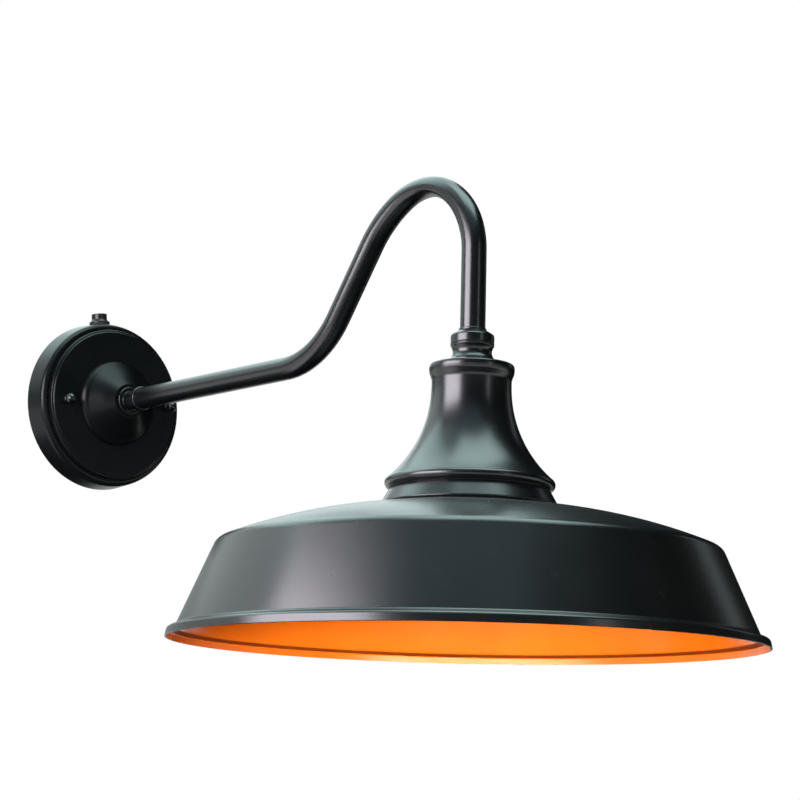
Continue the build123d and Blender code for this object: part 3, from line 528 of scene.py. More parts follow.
GASKET_INNER, GASKET_OUTER = 54.7, 60.7
GASKET = [
    (GASKET_INNER, 0, 0.2), (GASKET_OUTER, 0, 0.2), (GASKET_OUTER, GASKET_FACE, 0.3),
    (GASKET_INNER, GASKET_FACE, 0.3),
]
CANOPY = [
    (60.5, GASKET_FACE), (61.7, GASKET_FACE, 0.25), (60.3, 19.4, 3.5), (56.7, 19.4, 0.3), (56.7, 18.0, 0.4),
    (55.4, 18.0, 0.4), (55.4, 23.4, 1.0), (54.0, 23.4, 0.3), (53.3, CANOPY_FACE, 0.8),
    (NIPPLE_HOLE, CANOPY_FACE), (NIPPLE_HOLE, 23.0), (52.6, 23.0, 0.6), (54.2, 21.4, 0.6), (54.2, 16.8, 0.5),
    (59.2, 16.8, 2.2),
]
FLANGE = [
    (NIPPLE_FIT, CANOPY_FACE), (31.5, CANOPY_FACE, 0.3), (31.5, 27.6, 5.0), (27.6, 29.6, 4.0),
    (19.0, 36.6, 20.0), (12.5, FLANGE_FACE, 0.8), (NIPPLE_FIT, FLANGE_FACE),
]
COLLAR_SPIGOT, SPIGOT_END = 6.45, 75.0
COLLAR = [
    (NIPPLE_FIT, FLANGE_FACE), (10.2, FLANGE_FACE, 0.3), (10.2, 43.0, 0.6), (7.0, 43.0, 0.4),
    (7.0, ARM_START), (COLLAR_SPIGOT, ARM_START), (COLLAR_SPIGOT, SPIGOT_END, 0.4), (NIPPLE_BORE, SPIGOT_END),
    (NIPPLE_BORE, WALL_NIPPLE_END), (NIPPLE_FIT, WALL_NIPPLE_END),
]
lathe("wall_gasket", WALL, rounded(GASKET), FOAM, "fixture", 180)
# The canopy and the flange take the shaded copies of the powder coat, as painted shade
lathe("canopy", WALL, rounded(CANOPY), CANOPY_SHADED_POWDER, "fixture", 256)
lathe("arm_flange", WALL, rounded(FLANGE), FLANGE_SHADED_POWDER, "fixture", 200)
lathe("arm_collar", WALL, rounded(COLLAR), POWDER, "fixture")

# Cap nuts: a collar with a ball on it

BALL_MIDDLE, BALL_RADIUS = 31.88, 3.9
CAP_NUT = (
    [(0, 31.2), (STUD_FIT, 31.2), (STUD_FIT, CANOPY_FACE), (3.0, CANOPY_FACE), (3.3, 24.5), (3.3, 24.8)]
    + [(3.3, 28.9), (3.3, 29.2), (3.05, 29.5), (3.05, 29.7)]
    + arc((0, BALL_MIDDLE), BALL_RADIUS, -34, 90, 20)[:-1]
    + [(0, BALL_MIDDLE + BALL_RADIUS)]
)
shaped(
    "cap_nuts", [turned(stud_frame(side), CAP_NUT, 64) for side in SIDES], POWDER, "fixture",
)

# Gooseneck arm: a straight run, a bend up, a slant, two arcs over the top and a drop

TUBE_RADIUS, TUBE_BORE, TUBE_SEGMENTS = 7.75, 6.55, 64
CROWN_HEADING, CROWN_REACH, CROWN_FLAT, CROWN_LOWEST = -14.0, 58.0, 0.36, 40.0


def arm_stations():
    """Points on the arm's line as (s, z, heading in degrees)."""
    stations = []
    place = Vector((ARM_START, 0.0))
    heading = 0.0

    def run(length, steps):
        nonlocal place
        way = Vector((math.cos(math.radians(heading)), math.sin(math.radians(heading))))
        for k in range(steps + 1):
            stations.append((*(place + way * (length * k / steps)), heading))
        place = place + way * length

    def bend(radius, turn, steps):
        nonlocal place, heading
        side = 1 if turn > 0 else -1
        normal = math.radians(heading + 90 * side)
        centre = place + Vector((math.cos(normal), math.sin(normal))) * radius
        for k in range(1, steps + 1):
            now = heading + turn * k / steps
            out = math.radians(now - 90 * side)
            stations.append((*(centre + Vector((math.cos(out), math.sin(out))) * radius), now))
        place = Vector(stations[-1][:2])
        heading += turn

    run(168.4, 12)
    bend(65.1, 53.9, 28)
    run(53.0, 4)
    bend(74.6, -27.6, 18)
    bend(47.5, -116.3, 60)
    run(50.6, 5)
    return stations


def tube_rings(radius, stations):
    """Rings of a tube that follows the stations. The tight bend has flattened its underside a little."""
    rings = []
    for s, z, heading in stations:
        lean = math.radians(heading)
        across = Vector((1, 0, 0))
        up = Vector((0, math.sin(lean), math.cos(lean)))
        centre = Vector((0, -s, z))
        off = min(1.0, abs(heading - CROWN_HEADING) / CROWN_REACH) if z > CROWN_LOWEST else 1.0
        under = 1 - CROWN_FLAT * (0.5 + 0.5 * math.cos(math.pi * off))
        ring = []
        for k in range(TUBE_SEGMENTS):
            rise = math.sin(TAU * k / TUBE_SEGMENTS)
            if rise < 0:
                rise *= under
            ring.append(centre + (across * math.cos(TAU * k / TUBE_SEGMENTS) + up * rise) * radius)
        rings.append(ring)
    return rings


arm_line = arm_stations()
arm_rings = tube_rings(TUBE_RADIUS, arm_line) + tube_rings(TUBE_BORE, arm_line)[::-1]
shaped("gooseneck_arm", [(arm_rings, True, None)], POWDER, "fixture")
WALL_RING_END, END_RING_TOP = 58.0, 0.71
WALL_RING = [
    (ARM_RING_BORE, ARM_START), (8.8, ARM_START, 0.8), (8.8, WALL_RING_END, 0.8),
    (ARM_RING_BORE, WALL_RING_END),
]
END_RING = [
    (ARM_RING_BORE, ARM_FOOT), (8.5, ARM_FOOT, 0.2), (8.5, END_RING_TOP, 0.5), (ARM_RING_BORE, END_RING_TOP),
]
lathe("arm_wall_ring", WALL, rounded(WALL_RING), POWDER, "fixture")
lathe("arm_end_ring", LAMP, rounded(END_RING), POWDER, "fixture")

# Coupling and neck

COUPLING_RADIUS, COUPLING_FOOT = 13.3, 15.2
COUPLING_TOP = [
    (NIPPLE_FIT, NECK_TOP), (NIPPLE_FIT, ARM_FOOT), (8.6, ARM_FOOT, 0.3), (COUPLING_RADIUS, -3.59, 1.8),
    (COUPLING_RADIUS, -8.5),
]
coupling = (
    rounded(COUPLING_TOP, closed=False)
    + arc((COUPLING_RADIUS, -9.09), 0.45, 80, 280, 10)
    + [(COUPLING_RADIUS, -9.6), (COUPLING_RADIUS, -9.85), (13.25, -10.1)]
    + arc_through((13.15, -10.4), (12.0, -14.84), (15.0, -19.3), 20)
    + rounded([(15.1, -19.4), (COUPLING_FOOT, -19.49, 0.1), (COUPLING_FOOT, NECK_TOP)], closed=False)
)
lathe("coupling", LAMP, coupling, POWDER, "fixture", 160)

NECK_RADIUS, NECK_INNER, NECK_PLATE = 24.2, 22.6, -24.39
NECK_BEAD = [
    (23.0, NECK_TOP), (25.5, NECK_TOP, 1.5), (26.0, -24.6, 6.0), (25.7, -27.2, 6.0),
    (NECK_RADIUS, -31.2, 7.0), (NECK_RADIUS, -34.8),
]
BELL_CENTRE, BELL_OUTSIDE, BELL_INSIDE = (99.87, -35.19), 75.67, 77.27
LIP_INNER, LIP_FOOT = 48.4, -98.09
neck = (
    [(NIPPLE_HOLE, NECK_PLATE), (NIPPLE_HOLE, NECK_TOP), (15.5, NECK_TOP)]
    + rounded(NECK_BEAD, closed=False)
    + arc(BELL_CENTRE, BELL_OUTSIDE, 180, 228, 40)
    + arc_through((49.4, -91.6), (51.25, -94.6), (49.3, -98.0), 24)
    + [(49.2, LIP_FOOT), (LIP_INNER, LIP_FOOT), (LIP_INNER, SHADE_SEAT), (39.0, SHADE_SEAT)]
    + arc(BELL_CENTRE, BELL_INSIDE, 218.02, 180, 30)
    + [(NECK_INNER, -34.9), (NECK_INNER, NECK_PLATE)]
)
lathe("neck", LAMP, neck, POWDER, "fixture", 256)

# Shade: dark outside, orange inside, and a painted shadow of darker orange along the crease of its ledge

SHEET = 1.1
SHADE_SEGMENTS = 360
SHADE_TOP = [(38.0, SHADE_SEAT), (48.3, SHADE_SEAT, 1.6), (48.3, -98.49, 1.6)]
COLLAR_FOOT = [(52.2, -110.42, 0.6)]
COLLAR_BEAD = [(53.5, -107.9, 0.9), (52.4, -109.4, 0.4), (52.7, -110.45, 0.2)]
SHADE_DOME = [
    (102.3, -114.59, 308.1, 40), (150.3, -133.39, 7.0), (171.9, -183.89, 1.6), (177.0, -185.69, 2.4),
    (178.0, -190.59),
]
# Inside faces between these radii take the painted shadow of the ledge's crease
CREASE_SHADOW_START, CREASE_SHADOW_END = 171.8, 175.9
OUTSIDE_SLOT, INSIDE_SLOT, CREASE_SHADOW_SLOT = 0, 1, 2


def shade_side(foot):
    """The shade's section with one form of the collar's foot."""
    return [Vector(point) for point in rounded(SHADE_TOP + foot + SHADE_DOME, closed=False)]


def inner_side(points, sheet):
    """The points moved by the sheet's thickness towards the inside of the shade."""
    moved_points = []
    for i, here in enumerate(points):
        ahead = points[min(i + 1, len(points) - 1)] - points[max(i - 1, 0)]
        ahead.normalize()
        moved_points.append(here + Vector((ahead.y, -ahead.x)) * sheet)
    return moved_points


outside = shade_side(COLLAR_BEAD)
inside = inner_side(shade_side(COLLAR_FOOT), SHEET)[::-1]
shade_slots = [OUTSIDE_SLOT] * len(outside)
shade_slots += [CREASE_SHADOW_SLOT if CREASE_SHADOW_START < point.x < CREASE_SHADOW_END else INSIDE_SLOT for point in inside]
shade_shell = turned(LAMP, [tuple(point) for point in outside + inside], SHADE_SEGMENTS, shade_slots)
shade = skin("shade.look", [shade_shell], [POWDER, ENAMEL, CREASE_SHADOW_ENAMEL])
settle(shade, "fixture", "shade")

# Photocell: a hooded body with a clear plug

CELL_FLOOR, CELL_TOP, SENSOR_TOP, SENSOR_DISH, LENS_TOP = 63.3, 69.1, 64.8, 64.5, 68.9
STEM_RADIUS, STEM_FOOT, HOOD_OUTER, HOOD_INNER, LENS_RADIUS = 3.5, 53.8, 5.65, 4.85, 4.75
CELL_BODY = [
    (0, STEM_FOOT), (STEM_RADIUS, STEM_FOOT, 0.3), (STEM_RADIUS, 62.1), (7.5, 62.1, 0.35),
    (7.5, CELL_FLOOR, 0.4), (6.7, CELL_FLOOR, 0.2), (HOOD_OUTER, 65.0, 0.6), (HOOD_OUTER, CELL_TOP, 0.35),
    (HOOD_INNER, CELL_TOP), (HOOD_INNER, CELL_FLOOR), (0, CELL_FLOOR),
]
CELL_LENS = [(0, SENSOR_TOP), (LENS_RADIUS, SENSOR_TOP), (LENS_RADIUS, LENS_TOP, 0.9), (0, LENS_TOP)]
CELL_SENSOR = [
    (0, CELL_FLOOR), (3.0, CELL_FLOOR), (3.0, SENSOR_TOP, 0.3), (2.4, SENSOR_TOP, 0.1),
    (2.3, SENSOR_DISH, 0.1), (0, SENSOR_DISH),
]
photocell = skin("photocell_body.look", [turned(CELL, rounded(CELL_BODY), 96)], [BLACK])
cut(photocell, [block(CELL, (8.0, 14.0, 6.0), (-2.6, 0, 68.2))])
settle(photocell, "fixture", "photocell_body")
lathe("photocell_lens", CELL, rounded(CELL_LENS), LENS, "fixture", 96)
lathe("photocell_sensor", CELL, rounded(CELL_SENSOR), SENSOR, "fixture", 64)
shaped(
    "photocell_nut", [hex_nut(CELL, 10.5, 3.55, 55.2, 3.0)], BLACK, "fixture", NUT_SHARP,
)

# Crossbar and its hardware


def plate(name, outline, holes, thickness, bevel, material):
    """A flat plate on the wall with bevelled edges, from closed outlines of (x, z) points."""
    curve = bpy.data.curves.new(name, "CURVE")
    curve.dimensions = "2D"
    curve.fill_mode = "BOTH"
    curve.extrude = (thickness / 2 - bevel) * MM
    curve.bevel_depth = bevel * MM
    curve.bevel_resolution = 2
    curve.offset = -bevel * MM
    for points in [outline] + holes:
        spline = curve.splines.new("POLY")
        spline.points.add(len(points) - 1)
        for place, (x, z) in zip(spline.points, points):
            place.co = (x * MM, z * MM, 0, 1)
        spline.use_cyclic_u = True
    holder = stand_in_scene(name, curve)
    mesh = evaluated_mesh(holder)
    bpy.data.objects.remove(holder, do_unlink=True)
    mesh.transform(Matrix(((1, 0, 0, 0), (0, 0, -1, -thickness / 2 * MM), (0, 1, 0, 0), (0, 0, 0, 1))))
    mesh.materials.clear()
    return finish_mesh(name, mesh, [material])


def slot_outline(length, width, x=0.0, steps=24):
    """A slot with round ends, along X."""
    half = (length - width) / 2
    right_end = arc((x + half, 0), width / 2, -90, 90, steps)
    left_end = arc((x - half, 0), width / 2, 90, 270, steps)
    return right_end + left_end


def round_outline(radius, x, z, steps=32):
    """A round hole."""
    return arc((x, z), radius, 0, 360 - 360 / steps, steps - 1)


BAR_LENGTH, BAR_WIDTH, BAR_BEVEL = 103.9, 22.0, 0.25
BOX_SLOT_LENGTH, BOX_SLOT_WIDTH, BOX_SLOT_PLACE = 10.0, 4.8, 34.925
GROUND_PLACE = 20.0
bar_holes = [slot_outline(BOX_SLOT_LENGTH, BOX_SLOT_WIDTH, side * BOX_SLOT_PLACE) for side in SIDES]
for side in SIDES:
    stud_x = side * STUD_RADIUS * math.cos(STUD_TURN)
    stud_z = side * STUD_RADIUS * math.sin(STUD_TURN)
    bar_holes.append(round_outline(STUD_FIT, stud_x, stud_z))
bar_holes.append(round_outline(STUD_FIT, GROUND_PLACE, 0.0))
crossbar = plate("crossbar.look", slot_outline(BAR_LENGTH, BAR_WIDTH), bar_holes, BAR_FACE, BAR_BEVEL, ZINC)
settle(crossbar, "fixture", "crossbar")
shaped(
    "canopy_studs", [threaded_rod(stud_frame(side), 2.0, 0.35, 0.794, 0.0, 30.6) for side in SIDES],
    ZINC, "fixture",
)
shaped(
    "stud_lock_nuts", [hex_nut(stud_frame(side), 7.0, STUD_FIT, BAR_FACE, 3.2) for side in SIDES],
    ZINC, "fixture", NUT_SHARP,
)
GROUND = moved(WALL, GROUND_PLACE, 0.0)
GROUND_TOP = 4.4
GROUND_SCREW = [
    (0, 0), (2.0, 0, 0.3), (2.0, BAR_FACE), (3.8, BAR_FACE, 0.3), (3.8, GROUND_TOP, 0.9), (0, GROUND_TOP),
]
ground = skin("ground_screw.look", [turned(GROUND, rounded(GROUND_SCREW), 64)], [GREEN])
cut(ground, [block(GROUND, (9.0, 1.0, 2.0), (0, 0, 4.3))])
settle(ground, "fixture", "ground_screw")

# Nipples, washers and nuts

NIPPLE_CREST, NIPPLE_DEPTH, NIPPLE_PITCH = 5.0, 0.5, 0.941
for name, base, start, end in (
    ("wall_nipple", WALL, 16.3, WALL_NIPPLE_END),
    ("lamp_nipple", LAMP, -32.49, 15.31),
):
    rod = threaded_rod(base, NIPPLE_CREST, NIPPLE_DEPTH, NIPPLE_PITCH, start, end, NIPPLE_BORE)
    shaped(name, [rod], ZINC, "fixture")
for name, base, start in (("wall_nipple_washer", WALL, 21.8), ("lamp_nipple_washer", LAMP, -25.59)):
    washer = toothed_washer(base, 9.5, NIPPLE_HOLE, start, 1.2)
    shaped(name, [washer], ZINC, "fixture")
for name, base, start in (("wall_nipple_nut", WALL, 17.8), ("lamp_nipple_nut", LAMP, SOCKET_CAP_TOP)):
    nut = hex_nut(base, 14.3, NIPPLE_FIT, start, 4.0)
    shaped(name, [nut], ZINC, "fixture", NUT_SHARP)

# Wire connectors: fluted caps

CONNECTOR_FOOT = [
    (0, 9.3), (1.3, 9.3), (1.3, 0.0), (4.7, 0.0), (5.0, 0.3), (4.95, 0.8), (4.9, 1.3), (4.5, 1.6),
]
CONNECTOR_TIP = [(3.3, 16.8), (3.1, 17.5), (2.6, 17.95), (0, 18.0)]
FLUTE_PLACES = (2.2, 4.0, 8.0, 12.0, 15.0, 16.0)
FLUTES, FLUTE_DEPTH = 18, 0.45
CONNECTOR_SEGMENTS = 144


def fluted(along):
    """The radius of a connector's tapered and fluted side, as a function of the angle."""
    radius = 5.0 - 1.4 * along / 18 - 0.05
    return lambda angle: radius - FLUTE_DEPTH * (0.5 + 0.5 * math.cos(FLUTES * angle))


def connector_shell(side):
    """The shell of one connector, from its open foot to its closed tip."""
    origin = Vector((-side * 1.7, -8.3, side * 14.0))
    base = (origin, Vector((0, 0, side)), Vector((1, 0, 0)), Vector((0, 1, 0)))
    profile = CONNECTOR_FOOT + [(fluted(along), along) for along in FLUTE_PLACES] + CONNECTOR_TIP
    return (rings_of(base, profile, CONNECTOR_SEGMENTS), False, None)


shaped(
    "wire_connectors", [connector_shell(side) for side in SIDES], CONNECTOR, "fixture",
)

# Lamp socket

SOCKET_CAP = [
    (NIPPLE_FIT, SOCKET_CAP_TOP), (8.0, SOCKET_CAP_TOP, 0.5), (8.0, SOCKET_CAP_STEP, 0.6),
    (17.0, SOCKET_CAP_STEP, 0.8), (17.0, SOCKET_TOP, 0.3), (NIPPLE_FIT, SOCKET_TOP),
]
SOCKET_RADIUS, SOCKET_FOOT, GROOVE_RADIUS = 19.0, -78.49, 18.4
SOCKET_BODY = [
    (2.58, SOCKET_TOP), (SOCKET_RADIUS, SOCKET_TOP, 1.5), (SOCKET_RADIUS, -44.0, 0.5),
    (GROOVE_RADIUS, -44.6, 0.5), (GROOVE_RADIUS, -46.4, 0.5), (SOCKET_RADIUS, -47.0, 0.5),
    (SOCKET_RADIUS, SOCKET_FOOT, 1.5), (14.3, SOCKET_FOOT, 0.6), (14.3, SHELL_TOP), (2.58, SHELL_TOP),
]
lathe("socket_cap", LAMP, rounded(SOCKET_CAP), ZINC, "fixture")
lathe("socket_body", LAMP, rounded(SOCKET_BODY), PORCELAIN, "fixture", 160)

CROSS_LENGTH, CROSS_WIDTH = 1.15, 0.28


def screw(base, shank, head, start, seat, top, recess):
    """A pan-head screw with a cross recess, built along a frame's axis."""
    profile = [
        (0, start), (shank, start, 0.3), (shank, seat), (head, seat, 0.15),
        (head, top, abs(top - seat) * 0.6), (0, top),
    ]
    piece = skin("screw", [turned(base, rounded(profile), 48)], [ZINC])
    middle = top - recess / 2 * (1 if top > seat else -1)
    cutters = [
        block(base, (head * CROSS_LENGTH, head * CROSS_WIDTH, recess), (0, 0, middle)),
        block(base, (head * CROSS_WIDTH, head * CROSS_LENGTH, recess), (0, 0, middle)),
    ]
    return cut(piece, cutters)


def screws(name, places, *sizes):
    """One piece from equal screws, which stands for the node of its own name."""
    work = bmesh.new()
    for piece in [screw(base, *sizes) for base in places]:
        work.from_mesh(piece.data)
        bpy.data.objects.remove(piece, do_unlink=True)
    mesh = bpy.data.meshes.new(name + ".look")
    work.to_mesh(mesh)
    work.free()
    settle(finish_mesh(name + ".look", mesh, [ZINC]), "fixture", name)


SOCKET_SCREW_PLACE, SHADE_SCREW_PLACE = 11.0, 42.5
SOCKET_SCREWS = [moved(LAMP, 0.0, side * SOCKET_SCREW_PLACE) for side in SIDES]
SHADE_SCREWS = []
for degrees in (0, 120, 240):
    turn = math.radians(degrees)
    SHADE_SCREWS.append(moved(LAMP, SHADE_SCREW_PLACE * math.cos(turn), SHADE_SCREW_PLACE * math.sin(turn)))
screws("socket_screws", SOCKET_SCREWS, 1.5, 2.7, -39.49, SOCKET_CAP_STEP, -30.69, 1.0)
screws("shade_screws", SHADE_SCREWS, 2.0, 3.5, -88.99, -93.09, -95.29, 1.2)

# Screw shell: a brass sleeve with a rolled thread

EDISON_PITCH = 3.629
CAP_SEGMENTS = 96
SHELL_RADIUS, SHELL_FOOT, SHELL_FLOOR, SHELL_HOLE = 14.2, -75.49, -42.39, 9.0


def rolled_thread(start, length, count, lead, crest, depth, crest_growth=0.0):
    """Rings of a rolled thread that fades in and out, and whose crest may grow as it fades in."""
    profile = []
    for k in range(count):
        height = start + length * k / (count - 1)
        fade = min(1.0, k / lead, (count - 1 - k) / lead)
        radius = thread_radius(crest + crest_growth * fade, depth * fade, EDISON_PITCH, height)
        profile.append((radius, height))
    return rings_of(LAMP, profile, CAP_SEGMENTS)


SHELL_START = [
    (SHELL_HOLE, SHELL_FLOOR), (SHELL_HOLE, SHELL_TOP), (SHELL_RADIUS, SHELL_TOP), (SHELL_RADIUS, SHELL_FOOT),
    (13.7, SHELL_FOOT),
]
shell_rings = rings_of(LAMP, SHELL_START, CAP_SEGMENTS)
shell_rings += rolled_thread(-75.2, 32.4, 74, 6, 13.75, 0.45)
shell_rings += rings_of(LAMP, [(13.6, SHELL_FLOOR)], CAP_SEGMENTS)
shaped("screw_shell", [(shell_rings, True, None)], BRASS, "fixture")
CONTACT_FOOT, CONTACT_SEAT, CONTACT_TOP, CONTACT_STEM = -50.49, -48.49, -36.49, 2.5
CONTACT = [
    (0, CONTACT_FOOT), (3.4, CONTACT_FOOT, 0.4), (5.0, -49.6, 0.4), (5.0, CONTACT_SEAT, 0.3),
    (CONTACT_STEM, CONTACT_SEAT, 0.3), (CONTACT_STEM, CONTACT_TOP, 0.4), (0, CONTACT_TOP),
]
lathe("centre_contact", LAMP, rounded(CONTACT), BRASS, "contact", 64)

# Bulb: tip, insulator, threaded cap, body and frosted globe

BULB_TIP = [
    (0, -50.59), (1.6, -50.66), (3.0, -50.9), (3.8, -51.25), (4.2, INSULATOR_TOP), (0, INSULATOR_TOP),
]
INSULATOR = [
    (0, INSULATOR_TOP), (4.2, INSULATOR_TOP, 0.2), (6.2, -52.6, 0.2), (6.4, -53.0, 0.2), (8.4, -53.9, 0.2),
    (8.6, -54.2, 0.2), (11.2, -55.3, 0.2), (11.2, CAP_TOP), (0, CAP_TOP),
]
lathe("bulb_tip", LAMP, BULB_TIP, BRASS, "bulb", 64)
lathe("bulb_insulator", LAMP, rounded(INSULATOR, 4), BLACK, "bulb", 96)

CAP_INSIDE = -55.99
CAP_SKIRT = [
    (12.1, -74.6), (12.95, -75.4), (12.95, -75.8), (12.95, CAP_FOOT), (12.35, CAP_FOOT), (11.5, -77.2),
    (11.0, CAP_INSIDE), (0, CAP_INSIDE),
]
cap_rings = rings_of(LAMP, [(0, CAP_TOP), (11.2, CAP_TOP), (11.9, -55.9)], CAP_SEGMENTS)
cap_rings += rolled_thread(-56.4, -17.6, 60, 8, 12.1, 0.85, crest_growth=0.85)
cap_rings += rings_of(LAMP, CAP_SKIRT, CAP_SEGMENTS)
shaped("bulb_cap", [(cap_rings, False, None)], CAP_METAL, "bulb")

BODY_DROP, BODY_FLARE, BODY_START, BODY_WALL = 34.8, 13.8, 13.2, 1.6
BODY_FOOT, BODY_INSIDE_TOP = -112.19, -78.99
BODY_CURVE = ((BODY_DROP**2) + (BODY_FLARE**2)) / (2 * BODY_FLARE)
BODY_TURN = math.degrees(math.asin(BODY_DROP / BODY_CURVE))
body_outside = arc((BODY_START + BODY_CURVE, CAP_FOOT), BODY_CURVE, 180, 180 + BODY_TURN, 28)
body_inside = [(radius - BODY_WALL, along - 0.4) for radius, along in body_outside[2:-1]]
bulb_body = (
    [(0, CAP_FOOT), (12.9, CAP_FOOT)]
    + body_outside[:-1]
    + [(26.75, -111.9), (27.0, BODY_FOOT), (25.4, BODY_FOOT)]
    + body_inside[::-1]
    + [(11.6, BODY_INSIDE_TOP), (0, BODY_INSIDE_TOP)]
)
lathe("bulb_body", LAMP, bulb_body, WHITE, "bulb", 160)

GLOBE_RISE = 15.0


def globe_side(radius, rim):
    """The globe's profile from its pole up to its rim."""
    lower = arc((0, GLOBE_MIDDLE), radius, -90, 0, 32)
    narrowing = radius - rim
    bend = (GLOBE_RISE**2 + narrowing**2) / (2 * narrowing)
    turn = math.degrees(math.asin(GLOBE_RISE / bend))
    upper = arc((radius - bend, GLOBE_MIDDLE), bend, 0, turn, 14)
    return lower + upper[1:]


globe = [(0, -157.19)] + globe_side(30.0, 27.0)[1:] + globe_side(28.4, 25.4)[::-1][:-1] + [(0, -155.59)]
lathe("bulb_globe", LAMP, globe, GLOBE, "bulb", 192)

# CAD nodes that keep their own shape
for node, material in (
    ("photocell_gasket", RUBBER),
    ("arm_end_bush", ZINC),
    ("contact_spring", ZINC),
    ("live_lead", LIVE),
    ("neutral_lead", NEUTRAL),
    ("photocell_lead", RED),
):
    node_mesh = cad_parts[node].data
    node_mesh.materials.clear()
    node_mesh.materials.append(material)

# Camera: its place, its angles in radians and its focal length in pixels of an image 800 wide

CAMERA_PLACE = Vector((-0.874074, -1.31729, -0.278122))
YAW, PITCH, ROLL, FOCAL = 0.72887, 0.18296, 0.024187, 2130.99
FILM_WIDTH, IMAGE_WIDTH = 36, 800
forward = Vector((math.sin(YAW) * math.cos(PITCH), math.cos(YAW) * math.cos(PITCH), math.sin(PITCH)))
level = Vector((math.cos(YAW), -math.sin(YAW), 0))
unrolled_up = level.cross(forward)
right = math.cos(ROLL) * level + math.sin(ROLL) * unrolled_up
upward = -math.sin(ROLL) * level + math.cos(ROLL) * unrolled_up
lens = bpy.data.cameras.new("camera")
lens.sensor_width = FILM_WIDTH
lens.lens = FOCAL * FILM_WIDTH / IMAGE_WIDTH
camera = stand_in_scene("camera", lens)
camera_stand = Matrix((right, upward, -forward)).transposed().to_4x4()
camera_stand.translation = CAMERA_PLACE
camera.matrix_world = camera_stand
bpy.context.scene.camera = camera
bpy.context.scene.view_settings.view_transform = "Standard"

# Floor and world

FLOOR_HALF, FLOOR_HEIGHT, FLOOR_GLOW = 6.0, -0.62, 0.6
WORLD_SEEN, WORLD_DIFFUSE = 1.0, 0.15


def seen_or_diffuse(tree, seen, diffuse):
    """One strength for the camera, for reflections and through glass, and another for diffuse light."""
    path = tree.nodes.new("ShaderNodeLightPath")
    value = path.outputs["Is Camera Ray"]
    for kind in ("Is Transmission Ray", "Is Glossy Ray"):
        either = tree.nodes.new("ShaderNodeMath")
        either.operation = "MAXIMUM"
        tree.links.new(value, either.inputs[0])
        tree.links.new(path.outputs[kind], either.inputs[1])
        value = either.outputs["Value"]
    strength = add_node(tree, "ShaderNodeMapRange", To_Min=diffuse, To_Max=seen)
    tree.links.new(value, strength.inputs["Value"])
    return strength.outputs["Result"]


def white_world():
    """A white background that lights the object less than it shows."""
    world = bpy.data.worlds.new("studio")
    bpy.context.scene.world = world
    world.use_nodes = True
    tree = world.node_tree
    back = tree.nodes["Background"]
    back.inputs["Color"].default_value = (1, 1, 1, 1)
    tree.links.new(seen_or_diffuse(tree, WORLD_SEEN, WORLD_DIFFUSE), back.inputs["Strength"])


def pale_floor():
    """The floor's surface, with some brightness of its own for the camera and for reflections."""
    material = surface("floor", (0.80, 0.80, 0.80), (0.83, 0.83, 0.83), (0.7, 0.8), 2.0, 40.0, 0.02)
    tree = material.node_tree
    shader = tree.nodes["Principled BSDF"]
    shader.inputs["Emission Color"].default_value = (1, 1, 1, 1)
    tree.links.new(seen_or_diffuse(tree, FLOOR_GLOW, 0.0), shader.inputs["Emission Strength"])
    return material


white_world()
floor_mesh = bpy.data.meshes.new("floor")
floor_mesh.from_pydata(
    [(x * FLOOR_HALF, y * FLOOR_HALF, FLOOR_HEIGHT) for x, y in ((-1, -1), (1, -1), (1, 1), (-1, 1))],
    [], [(0, 1, 2, 3)],
)
floor_mesh.materials.append(pale_floor())
floor = stand_in_scene("floor", floor_mesh)

# Studio panels and lamps

SHADE_Y = -0.403
SHADE_PLACE = Vector((0, SHADE_Y, -0.05))
MOUTH = Vector((0, SHADE_Y, -0.19))
TO_CAMERA = -Vector((forward.x, forward.y, 0)).normalized()
TO_LEFT = -level


def lamp(name, place, aim, size, power, colour, spread_angle=180):
    """A soft area light that the camera doesn't see."""
    data = bpy.data.lights.new(name, "AREA")
    data.shape = "RECTANGLE"
    data.size, data.size_y = size
    data.energy = power
    data.color = colour
    data.spread = math.radians(spread_angle)
    light = stand_in_scene(name, data)
    light.location = place
    light.rotation_euler = (Vector(aim) - Vector(place)).to_track_quat("-Z", "Y").to_euler()
    light.visible_camera = False
    return light


def round_about(azimuth, distance, height):
    """A place round the shade: azimuth in degrees from the camera's side, positive to the viewer's left."""
    turn = math.radians(azimuth)
    place = SHADE_PLACE + (TO_CAMERA * math.cos(turn) + TO_LEFT * math.sin(turn)) * distance
    place.z = height
    return place


def beside(to_right, to_camera, height):
    """A place given from the shade: to the viewer's right, towards the camera, and its height."""
    place = SHADE_PLACE - TO_LEFT * to_right + TO_CAMERA * to_camera
    place.z = height
    return place


def glow(name, strength, colour=(0.9, 1.0, 1.0)):
    """A panel's own even brightness, as a reflection sees it."""
    material, tree = new_material(name)
    tree.nodes.clear()
    light = add_node(tree, "ShaderNodeEmission", Color=(*colour, 1), Strength=strength)
    out = tree.nodes.new("ShaderNodeOutputMaterial")
    tree.links.new(light.outputs["Emission"], out.inputs["Surface"])
    return material


def panel(name, corners, material):
    """A studio panel that only reflections see, from rows of corners: a strip of quads."""
    verts = [corner for pair in corners for corner in pair]
    faces = [(2 * k, 2 * k + 2, 2 * k + 3, 2 * k + 1) for k in range(len(corners) - 1)]
    mesh = bpy.data.meshes.new(name)
    mesh.from_pydata(verts, [], faces)
    mesh.materials.append(material)
    piece = stand_in_scene(name, mesh)
    piece.visible_camera = False
    piece.visible_diffuse = False
    piece.visible_shadow = False
    piece.visible_transmission = False


def wall_panel(name, start, end, distance, low, high, material, steps=24):
    """A curved wall round the shade, between two azimuths and two heights."""
    turns = [start + (end - start) * k / steps for k in range(steps + 1)]
    corners = [(round_about(turn, distance, low), round_about(turn, distance, high)) for turn in turns]
    panel(name, corners, material)


